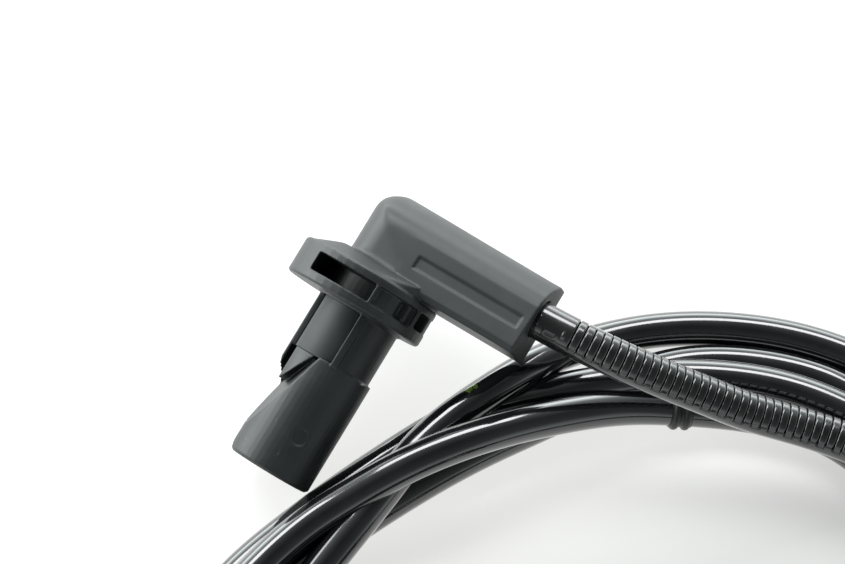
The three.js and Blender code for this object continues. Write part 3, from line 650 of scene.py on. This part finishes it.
def vector_maths(tree, operation, *values):
    node = operated(tree, "ShaderNodeVectorMath", operation, values)
    return node.outputs["Value" if operation in ("LENGTH", "DOT_PRODUCT") else "Vector"]


def mixed(tree, factor, a, b):
    """Colour a, and b as far as the factor says."""
    node = tree.nodes.new("ShaderNodeMix")
    node.data_type = "RGBA"
    for name, value in (("Factor", factor), ("A", a), ("B", b)):
        fits = (s for s in node.inputs if s.name == name and (name == "Factor" or s.type == "RGBA"))
        feed(tree, next(fits), value)
    return next(s for s in node.outputs if s.type == "RGBA")


def moulded_surface_group():
    """Colour, roughness and height of moulded plastic: fine grain, flow marks, rubbed dust."""
    group, start, end = new_group(
        "Moulded Surface",
        [("Colour", "NodeSocketColor", (0.03, 0.03, 0.03, 1)),
         ("Dust Colour", "NodeSocketColor", (0.2, 0.2, 0.2, 1)),
         ("Dust", "NodeSocketFloat", 0.1),
         ("Roughness", "NodeSocketFloat", 0.5),
         ("Grain Scale", "NodeSocketFloat", 9000.0)],
        [("Colour", "NodeSocketColor"), ("Roughness", "NodeSocketFloat"),
         ("Height", "NodeSocketFloat")])
    where = coordinates(group, "Object")
    grain = noise(group, where, start.outputs["Grain Scale"], 3.0, 0.5)
    cloud = noise(group, where, 160.0, 5.0, 0.6)
    specks = ramp(group, noise(group, where, 2600.0, 2.0, 0.5), 0.66, 0.74)
    smear = ramp(group, cloud, 0.45, 0.75)
    dust = times(group, plus(group, smear, times(group, specks, 0.6)), start.outputs["Dust"])
    uneven = times(group, ramp(group, cloud, 0.3, 0.7, -1, 1), 0.05)
    colour = mixed(group, dust, start.outputs["Colour"], start.outputs["Dust Colour"])
    height = plus(group, grain, times(group, cloud, 0.6))
    group.links.new(colour, end.inputs["Colour"])
    group.links.new(plus(group, start.outputs["Roughness"], uneven), end.inputs["Roughness"])
    group.links.new(height, end.inputs["Height"])
    return group


def dab_group():
    """Mask of one small mark: an uneven blot of the given half sizes about its centre."""
    group, start, end = new_group(
        "Dab", [(label, "NodeSocketVector", None) for label in ("Vector", "Centre", "Size")],
        [("Mask", "NodeSocketFloat")])
    where = start.outputs["Vector"]
    away = vector_maths(group, "SUBTRACT", where, start.outputs["Centre"])
    share = vector_maths(group, "DIVIDE", away, start.outputs["Size"])
    reach = vector_maths(group, "LENGTH", share)
    ragged = times(group, minus(group, noise(group, where, 2200.0, 3.0, 0.7), 0.5), 1.6)
    group.links.new(ramp(group, plus(group, reach, ragged), 1.0, 0.75), end.inputs["Mask"])
    return group


def streaks_group():
    """Height of the fine lines that the die leaves along a drawn tube."""
    group, start, end = new_group(
        "Die Streaks",
        [("Along", "NodeSocketVector", None), ("Radius", "NodeSocketFloat", 0.0026),
         ("Stretch", "NodeSocketFloat", 0.02)],
        [("Height", "NodeSocketFloat")])
    share, far, _ = split(group, start.outputs["Along"])
    turn = times(group, share, 2 * math.pi)
    place = group.nodes.new("ShaderNodeCombineXYZ")
    for axis, operation in (("X", "COSINE"), ("Y", "SINE")):
        out = times(group, maths(group, operation, turn), start.outputs["Radius"])
        group.links.new(out, place.inputs[axis])
    group.links.new(times(group, far, start.outputs["Stretch"]), place.inputs["Z"])
    height = noise(group, place.outputs["Vector"], 3500.0, 3.0, 0.6)
    group.links.new(height, end.inputs["Height"])
    return group


def moulded(name, colour=None, relief=None):
    """A material by its row of FINISHES, with another colour or relief if they are given."""
    base, dust_colour, dust, roughness, grain_scale, depth, specular, coat = FINISHES[name]
    material = bpy.data.materials.new(name)
    material.use_nodes = True
    tree = material.node_tree
    shader = tree.nodes["Principled BSDF"]
    surface = tree.nodes.new("ShaderNodeGroup")
    surface.node_tree = shared("surface group", moulded_surface_group)
    for label, value in (
            ("Colour", (*(base if colour is None else colour), 1)),
            ("Dust Colour", (*dust_colour, 1)), ("Dust", dust),
            ("Roughness", roughness), ("Grain Scale", grain_scale)):
        surface.inputs[label].default_value = value
    bump = tree.nodes.new("ShaderNodeBump")
    bump.inputs["Strength"].default_value = depth if relief is None else relief
    bump.inputs["Distance"].default_value = RELIEF_DISTANCE
    tree.links.new(surface.outputs["Height"], bump.inputs["Height"])
    tree.links.new(surface.outputs["Colour"], shader.inputs["Base Color"])
    tree.links.new(surface.outputs["Roughness"], shader.inputs["Roughness"])
    tree.links.new(bump.outputs["Normal"], shader.inputs["Normal"])
    shader.inputs["Specular IOR Level"].default_value = specular
    shader.inputs["Coat Weight"].default_value = coat
    shader.inputs["Coat Roughness"].default_value = COAT_ROUGHNESS
    if name in METALS:
        shader.inputs["Metallic"].default_value = 1.0
    return material


def paint_over(tree, mask, colour):
    """Lays the colour over the base colour where the mask says."""
    base = tree.nodes["Principled BSDF"].inputs["Base Color"]
    below = base.links[0].from_socket
    tree.links.new(mixed(tree, mask, below, (*colour, 1)), base)


def add_marks(material, marks, colour, strength, head_frame=False):
    """Small marks of one colour on a moulded material, each a centre and half sizes in metres."""
    tree = material.node_tree
    where = coordinates(tree, "Object")
    if head_frame:
        turn = tree.nodes.new("ShaderNodeMapping")
        turn.vector_type = "TEXTURE"
        turn.inputs["Location"].default_value = HEAD_ORIGIN
        turn.inputs["Rotation"].default_value = HEAD_TURN.to_euler()
        tree.links.new(where, turn.inputs["Vector"])
        where = turn.outputs["Vector"]
    total = None
    for centre, size in marks:
        dab = tree.nodes.new("ShaderNodeGroup")
        dab.node_tree = shared("dab group", dab_group)
        dab.inputs["Centre"].default_value = centre
        dab.inputs["Size"].default_value = size
        tree.links.new(where, dab.inputs["Vector"])
        mask = dab.outputs["Mask"]
        total = mask if total is None else maths(tree, "MAXIMUM", total, mask)
    paint_over(tree, times(tree, total, strength), colour)


def add_streaks(material, radius, strength):
    """Drawn lines along a tube, in the relief of its material."""
    tree = material.node_tree
    height = next(n for n in tree.nodes if n.bl_idname == "ShaderNodeBump").inputs["Height"]
    below = height.links[0].from_socket
    streaks = tree.nodes.new("ShaderNodeGroup")
    streaks.node_tree = shared("streaks group", streaks_group)
    streaks.inputs["Radius"].default_value = radius
    tree.links.new(coordinates(tree, "UV"), streaks.inputs["Along"])
    lines = times(tree, streaks.outputs["Height"], strength)
    tree.links.new(plus(tree, below, lines), height)


def paint_slot_shade(material, first, pitch, half, gloss):
    """Painted shade in the sleeve's slots, away from its spine: their cores are coloured near-black
    and lose their gloss.
    """
    tree = material.node_tree
    shader = tree.nodes["Principled BSDF"]
    share, far, _ = split(tree, coordinates(tree, "UV"))
    phase = maths(tree, "DIVIDE", minus(tree, far, first), pitch)
    nearest = maths(tree, "ABSOLUTE", minus(tree, phase, maths(tree, "ROUND", phase)))
    line = ramp(tree, nearest, half / pitch, 0.6 * half / pitch)
    turn = maths(tree, "ABSOLUTE", minus(tree, share, SPINE_ANGLE / 360))
    opened = ramp(tree, turn, SPINE_HALF / 360, (SPINE_HALF + SPINE_EDGE) / 360)
    started = ramp(tree, phase, -0.5, -0.4)
    # Painted shade: where this mask is, the slot's core is coloured near-black and its gloss is
    # taken off
    mask = times(tree, times(tree, line, opened), started)
    paint_over(tree, mask, SLOT_SHADE_COLOUR)
    shine = times(tree, minus(tree, 1.0, mask), gloss)
    tree.links.new(shine, shader.inputs["Coat Weight"])
    tree.links.new(shine, shader.inputs["Specular IOR Level"])


def turn_points(lay, edge, shares):
    """Points of one turn, in millimetres, from how it lies on the coil's edge."""
    def on_edge(u):
        return np.array([np.interp(u, shares, edge[:, 0]), np.interp(u, shares, edge[:, 1])])

    keys = np.array(lay)
    at = np.arange(keys[0, 0], keys[-1, 0], TURN_STEP)
    offset = smooth_keys(at, keys[:, 0], keys[:, 1])
    height = smooth_keys(at, keys[:, 0], keys[:, 2])
    points = []
    for share, inwards, z in zip(at, offset, height):
        u = share % 1.0
        x, y = on_edge(u)
        along = on_edge((u + TANGENT_STEP) % 1.0) - on_edge((u - TANGENT_STEP) % 1.0)
        along /= np.linalg.norm(along)
        points.append((x + along[1] * inwards, y - along[0] * inwards, z))
    return points


def lead_line():
    """The lead's whole centreline from inside the arm to the plug, in metres in the row frame."""
    edge = smooth_line([(x, y, 0.0) for x, y in COIL_EDGE], EDGE_SPAN, closed=True)
    loop = np.vstack([edge, edge[:1]])
    shares = travelled(loop)
    shares /= shares[-1]
    inside = [np.array(from_head(x, 0, EXIT_HEIGHT)) / MM - np.array(LEAD_ORIGIN) / MM
              for x in (STRIP, (STRIP + ARM_END) / 2, ARM_END)]
    points = [tuple(p) for p in inside] + LEAD_ROUTE
    for lay in TURN_LAYS:
        points += turn_points(lay, loop, shares)
    points += TAIL_ROUTE
    line = smooth_line(points, LEAD_SPAN) * MM + np.array(LEAD_ORIGIN)
    line, length = evenly(line, LEAD_STEP)
    head_part = int(round((ARM_END - STRIP) * MM / (length / (len(line) - 1))))
    start = line[:head_part + LEAD_BLEND].copy()
    line = eased(line, LEAD_EASING)
    blend = np.clip((np.arange(len(start)) - head_part) / LEAD_BLEND, 0, 1)[:, None]
    line[:len(start)] = start * (1 - blend) + line[:len(start)] * blend
    return line


class SENSOR_OT_camera(Operator):
    """Sets the camera that looks down at the head and the lead"""

    bl_idname = "sensor.camera"
    bl_label = "Camera"

    def execute(self, context):
        data = bpy.data.cameras.new("camera")
        data.sensor_width = FILM_WIDTH
        data.lens = LENS
        data.clip_start = 0.01
        data.clip_end = 10.0
        camera = bpy.data.objects.new("camera", data)
        context.scene.collection.objects.link(camera)
        elevation = math.radians(CAMERA_ELEVATION)
        back = Vector((0.0, -math.cos(elevation), math.sin(elevation)))
        camera.location = Vector(CAMERA_TARGET) * MM + back * CAMERA_DISTANCE
        camera.rotation_mode = "QUATERNION"
        camera.rotation_quaternion = (-back).to_track_quat("-Z", "Y")
        context.scene.camera = camera
        return {"FINISHED"}


class SENSOR_OT_plug(Operator):
    """Makes the plug's pieces with their rounded edges"""

    bl_idname = "sensor.plug"
    bl_label = "Plug"

    def execute(self, context):
        for row in PLUG_PIECES:
            rounded_piece(*row)
        return {"FINISHED"}


class SENSOR_OT_collar(Operator):
    """Makes the ribbed collar on the coil's last turn"""

    bl_idname = "sensor.collar"
    bl_label = "Collar"

    def execute(self, context):
        s = context.scene.sensor_lead
        line, length = evenly(lead_line(), FINE_STEP)
        far = np.linspace(0, length, len(line))
        low, high = COLLAR_RIBS[0] - COLLAR_MARGIN, COLLAR_RIBS[-1] + COLLAR_MARGIN
        at = np.arange(low, high + 0.01, 0.1) * MM
        radius = np.full(len(at), s.cable_diameter / 2 + COLLAR_SKIN)
        for rib in COLLAR_RIBS:
            share = np.clip(1 - (np.abs(at / MM - rib) / RIB_HALF) ** 2, 0, 1)
            radius += RIB_RISE * np.sqrt(share)
        rubber = moulded("collar_rubber", s.sleeve_colour)
        collar = swept("lead_collar", points_at(line, far, at), radius, COLLAR_SIDES, rubber)
        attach(collar, "root")
        return {"FINISHED"}


class SENSOR_OT_lead(Operator):
    """Lays the lead from the head round the coil to the plug"""

    bl_idname = "sensor.lead"
    bl_label = "Lead"

    def execute(self, context):
        s = context.scene.sensor_lead
        line = lead_line()
        _, length = evenly(line, LEAD_STEP)
        at = np.linspace(0, length, len(line))
        sleeve_end = (ARM_END - STRIP) * MM + s.sleeve_length
        radius = np.where(at < sleeve_end - TUBE_LAP, s.core_diameter / 2, s.cable_diameter / 2)
        glossy = moulded("glossy_tube", s.tube_colour)
        add_streaks(glossy, s.cable_diameter / 2, STREAK_STRENGTH)
        add_marks(glossy, PAINT_DABS, PAINT_COLOUR, PAINT_STRENGTH)
        lead = swept("lead_cable", line, radius, LEAD_SIDES, glossy)
        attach(lead, "root")
        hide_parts("inner_cable", "outer_tube_run", "outer_tube_coil", "outer_tube_tail")
        plug = [nodes[name] for name in PLUG_NODES]
        plug += [bpy.data.objects[name] for name, *_ in PLUG_PIECES]
        return {"FINISHED"}


class SENSOR_OT_sleeve(Operator):
    """Makes the slotted bend relief sleeve over the first stretch of the lead"""

    bl_idname = "sensor.sleeve"
    bl_label = "Bend Relief Sleeve"

    def execute(self, context):
        s = context.scene.sensor_lead
        start = (ARM_END - STRIP - SLEEVE_SEAT) * MM
        length = SLEEVE_SEAT * MM + s.sleeve_length
        dense, whole = evenly(lead_line(), FINE_STEP)
        step = whole / (len(dense) - 1)
        first = int(round(start / step))
        dense = eased(dense[first:first + int(round(length / step)) + 1], SLEEVE_EASING)
        at = self.stations(s, length)
        line = points_at(dense, np.arange(len(dense)) * step, at)
        rubber = moulded("sleeve_rubber", s.sleeve_colour)
        # Painted shade in the slots, over the rubber's own colour
        paint_slot_shade(rubber, (SLEEVE_SEAT + PLAIN_SLEEVE) * MM, s.slot_pitch, SLOT_WIDTH * MM,
                     SLEEVE_GLOSS)
        sleeve = swept("lead_sleeve", line, self.radii(s, at), SLEEVE_SIDES, rubber)
        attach(sleeve, "root")
        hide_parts("bend_relief_sleeve")
        return {"FINISHED"}

    def stations(self, s, length):
        """Distances along the sleeve, close together at each slot and moulded mark."""
        first = (SLEEVE_SEAT + PLAIN_SLEEVE) * MM
        at = [0.0, length]
        for place in np.arange(first, length - PLAIN_END, s.slot_pitch):
            at += [place + SLOT_WIDTH * MM * share for share in SLOT_STATIONS]
        for low, high, *_ in SLEEVE_MARKS:
            for place in (low, high):
                at += [(SLEEVE_SEAT + place) * MM + MARK_STEP * k for k in (-1.5, -0.5, 0.5, 1.5)]
        at += list(np.arange(SLEEVE_STEP, first - 0.0006, SLEEVE_STEP))
        at = np.unique(np.clip(np.round(at, 7), 0, length))
        return at[np.concatenate([[True], np.diff(at) > LEAST_STEP])]

    def radii(self, s, at):
        """The sleeve's radius at each station and side: slots in pairs, its spine and its marks."""
        along = at[:, None]
        angle = np.degrees(np.arange(SLEEVE_SIDES) * 2 * math.pi / SLEEVE_SIDES)[None, :]
        radius = np.full((len(at), SLEEVE_SIDES), s.sleeve_diameter / 2)
        phase = (along - (SLEEVE_SEAT + PLAIN_SLEEVE) * MM) / s.slot_pitch
        inside = (phase > -0.5) & (along < at[-1] - s.slot_pitch / 2)
        nearest = np.abs(phase - np.round(phase)) * s.slot_pitch / (SLOT_WIDTH * MM)
        slot = np.clip((SLOT_EDGE - nearest) / SLOT_WALL, 0, 1)
        from_spine = np.abs((angle - SPINE_ANGLE + 180) % 360 - 180)
        opened = fade(from_spine, SPINE_HALF, SPINE_EDGE)
        joined = np.clip(1 - np.abs(from_spine - SPINE_HALF - JOIN_PLACE) / JOIN_HALF, 0, 1)
        joined = joined * ((np.floor(phase) % 2 == 0) & inside)
        radius = radius - SLOT_DEPTH * MM * np.maximum(slot * opened * inside, joined)
        for low, high, left, right, rise in SLEEVE_MARKS:
            across = (along > (SLEEVE_SEAT + low) * MM) & (along < (SLEEVE_SEAT + high) * MM)
            radius = radius + rise * MM * (across & (angle > left) & (angle < right))
        return radius


class SENSOR_OT_head(Operator):
    """Makes the moulded head with its soft edges"""

    bl_idname = "sensor.head"
    bl_label = "Head"

    def execute(self, context):
        s = context.scene.sensor_head
        plastic = moulded("housing_plastic", s.colour, s.grain)
        for marks, colour, strength in ((WHITE_SPECKS, SPECK_COLOUR, SPECK_STRENGTH),
                                        (SCRATCHES, SCRATCH_COLOUR, SCRATCH_STRENGTH)):
            marks = [(Vector(centre) * MM, Vector(size) * MM) for centre, size in marks]
            add_marks(plastic, marks, colour, strength, head_frame=True)
        mesh = nodes["sensor_housing"].data.copy()
        mesh.materials.clear()
        mesh.transform(HEAD.inverted())
        self.add_details(mesh)
        head = new_object("moulded_head", mesh, plastic)
        net = head.modifiers.new("net", "REMESH")
        net.mode = "VOXEL"
        net.voxel_size = s.grid
        soft = head.modifiers.new("soft", "SMOOTH")
        soft.factor = 0.5
        soft.iterations = s.rounding
        apply_modifiers(head)
        self.soften_top(head)
        fewer = head.modifiers.new("fewer", "DECIMATE")
        fewer.ratio = KEPT_FACES
        apply_modifiers(head)
        head.data.transform(HEAD)
        all_smooth(head.data)
        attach(head, "root")
        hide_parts("sensor_housing")
        return {"FINISHED"}

    def add_details(self, mesh):
        """Adds the solid from the carrier to the ramp, and the nub of flash at the tip's joint"""
        work = bmesh.new()
        work.from_mesh(mesh)
        low_x, low_z = zip(*reversed(FILL_LINE))
        rings = []
        for x in np.linspace(FILL_LINE[-1][0], FILL_LINE[0][0], FILL_RINGS):
            front = -math.sqrt(max(CARRIER_RADIUS ** 2 - (x - CARRIER_AXIS) ** 2, 0.01))
            low = float(np.interp(x, low_x, low_z))
            corners = ((front, FILL_TOP), (front, low), (FILL_BACK, low), (FILL_BACK, FILL_TOP))
            rings.append([work.verts.new(Vector((x, y, z)) * MM) for y, z in corners])
        for one, two in zip(rings, rings[1:]):
            for i in range(4):
                work.faces.new((one[i], one[(i + 1) % 4], two[(i + 1) % 4], two[i]))
        work.faces.new(rings[0][::-1])
        work.faces.new(rings[-1])
        centre, size = FLASH_NUB
        shape = Matrix.Translation(Vector(centre) * MM) @ Matrix.Diagonal((*(Vector(size) * MM), 1))
        bmesh.ops.create_icosphere(work, subdivisions=2, radius=1.0, matrix=shape)
        bmesh.ops.recalc_face_normals(work, faces=work.faces)
        work.to_mesh(mesh)
        work.free()

    def soften_top(self, head):
        """Takes the facets out of the rounded top of the arm and elbow"""
        points = np.empty(len(head.data.vertices) * 3)
        head.data.vertices.foreach_get("co", points)
        x, y, z = points.reshape(-1, 3).T / MM
        before_back = fade(-y, -TOP_BACK, TOP_FADE)
        arm = (fade(z, TOP_HEIGHT, TOP_FADE) * before_back
               * fade(-x, TOP_MARGIN - ARM_END, TOP_FADE) * fade(y, TOP_FRONT, TOP_FRONT_FADE))
        elbow = fade(-x, -ELBOW_SIDE, TOP_FADE) * fade(z, ELBOW_HEIGHT, TOP_FADE) * before_back
        weight = np.round(np.maximum(arm, elbow) * 10)
        top = head.vertex_groups.new(name="top")
        for step in range(1, 11):
            top.add([int(i) for i in np.flatnonzero(weight == step)], step / 10, "REPLACE")
        blur = head.modifiers.new("blur", "SMOOTH")
        blur.factor = 0.5
        blur.iterations = TOP_ROUNDS
        blur.vertex_group = "top"


class SENSOR_OT_inner_parts(Operator):
    """Makes the carrier and gives the CAD nodes that are shown their materials"""

    bl_idname = "sensor.inner_parts"
    bl_label = "Inner Parts"

    def execute(self, context):
        rounded_piece("carrier_plug", "chip_carrier", "carrier_plastic", "carrier_plastic", 0.0001)
        for node_name, material_name in SHOWN_NODES.items():
            materials = nodes[node_name].data.materials
            materials.clear()
            materials.append(finish(material_name))
        return {"FINISHED"}


class SENSOR_OT_stage(Operator):
    """Makes the floor, the lamps and the world"""

    bl_idname = "sensor.stage"
    bl_label = "Stage"

    def execute(self, context):
        s = context.scene.sensor_stage
        self.floor(s)
        self.sky(context.scene, s)
        self.lamp(context.scene, "key", *KEY_LAMP, s.key_power)
        self.lamp(context.scene, "side", *SIDE_LAMP, s.side_power)
        context.scene.view_settings.view_transform = "Standard"
        return {"FINISHED"}

    def floor(self, s):
        """A pale floor that glows, dimmed in front by painted shade, and more far behind"""
        mesh = bpy.data.meshes.new("floor")
        r = FLOOR_REACH
        mesh.from_pydata([(-r, -r, 0), (r, -r, 0), (r, r, 0), (-r, r, 0)], [], [(0, 1, 2, 3)])
        material = bpy.data.materials.new("floor_paper")
        material.use_nodes = True
        tree = material.node_tree
        shader = tree.nodes["Principled BSDF"]
        shader.inputs["Base Color"].default_value = (*s.floor_colour, 1)
        shader.inputs["Roughness"].default_value = 0.6
        x, y, _ = split(tree, coordinates(tree, "Object"))
        # Painted shade: the floor glows less towards the front and right
        slant = minus(tree, y, times(tree, x, 0.35))
        glow_with_painted_shade = ramp(tree, slant, -0.046, -0.024, s.floor_glow - FRONT_PAINTED_SHADE, s.floor_glow)
        away = minus(tree, times(tree, y, 0.85), times(tree, x, 0.53))
        far = ramp(tree, away, 0.04, 0.30, 0.0, FAR_GLOW)
        shader.inputs["Emission Color"].default_value = (1.0, 1.0, 0.985, 1)
        tree.links.new(plus(tree, glow_with_painted_shade, far), shader.inputs["Emission Strength"])
        new_object("floor", mesh, material)

    def sky(self, scene, s):
        """Light round the horizon, brightest to the north-west, and a dark ceiling"""
        world = bpy.data.worlds.new("studio")
        world.use_nodes = True
        tree = world.node_tree
        where = coordinates(tree, "Generated")
        heights = tree.nodes.new("ShaderNodeValToRGB")
        tree.links.new(split(tree, where)[2], heights.inputs["Fac"])
        stops = heights.color_ramp.elements
        stops[0].position, stops[1].position = SKY_STOPS[0][0], SKY_STOPS[-1][0]
        for place, _ in SKY_STOPS[1:-1]:
            stops.new(place)
        for stop, (_, level) in zip(stops, SKY_STOPS):
            stop.color = (level, level, level, 1)
        towards = vector_maths(tree, "DOT_PRODUCT", where, SKY_DIRECTION)
        side = ramp(tree, towards, -0.2, 0.9, 1.0, s.north_light)
        background = tree.nodes["Background"]
        background.inputs["Color"].default_value = (0.93, 1.0, 1.0, 1)
        tree.links.new(times(tree, heights.outputs["Color"], side), background.inputs["Strength"])
        scene.world = world

    def lamp(self, scene, name, place, width, height, power):
        """An oblong lamp at the place, in metres, turned to the sensor"""
        data = bpy.data.lights.new(name, "AREA")
        data.shape = "RECTANGLE"
        data.size = width
        data.size_y = height
        data.energy = power
        lamp = bpy.data.objects.new(name, data)
        lamp.location = place
        lamp.rotation_mode = "QUATERNION"
        lamp.rotation_quaternion = (-Vector(place)).to_track_quat("-Z", "Y")
        scene.collection.objects.link(lamp)


class SENSOR_PT_panel(Panel):
    """The sensor's pieces and settings"""

    bl_idname = "SENSOR_PT_panel"
    bl_label = "Wheel Speed Sensor"
    bl_space_type = "VIEW_3D"
    bl_region_type = "UI"
    bl_category = "Sensor"

    def draw(self, context):
        for operator in OPERATORS:
            self.layout.operator(operator.bl_idname)
        for group in ("sensor_head", "sensor_lead", "sensor_stage"):
            box = self.layout.box()
            settings = getattr(context.scene, group)
            for name in settings.bl_rna.properties.keys():
                if name not in ("rna_type", "name"):
                    box.prop(settings, name)


OPERATORS = (
    SENSOR_OT_camera, SENSOR_OT_plug, SENSOR_OT_collar, SENSOR_OT_lead, SENSOR_OT_sleeve,
    SENSOR_OT_head, SENSOR_OT_inner_parts, SENSOR_OT_stage,
)
CLASSES = (HeadSettings, LeadSettings, StageSettings, *OPERATORS, SENSOR_PT_panel)


def register():
    for c in CLASSES:
        bpy.utils.register_class(c)
    bpy.types.Scene.sensor_head = PointerProperty(type=HeadSettings)
    bpy.types.Scene.sensor_lead = PointerProperty(type=LeadSettings)
    bpy.types.Scene.sensor_stage = PointerProperty(type=StageSettings)


def unregister():
    del bpy.types.Scene.sensor_stage
    del bpy.types.Scene.sensor_lead
    del bpy.types.Scene.sensor_head
    for c in reversed(CLASSES):
        bpy.utils.unregister_class(c)


def main():
    register()
    bpy.ops.sensor.camera()
    bpy.ops.sensor.plug()
    bpy.ops.sensor.collar()
    bpy.ops.sensor.lead()
    bpy.ops.sensor.sleeve()
    bpy.ops.sensor.head()
    bpy.ops.sensor.inner_parts()
    bpy.ops.sensor.stage()


if __name__ == "__main__":
    main()
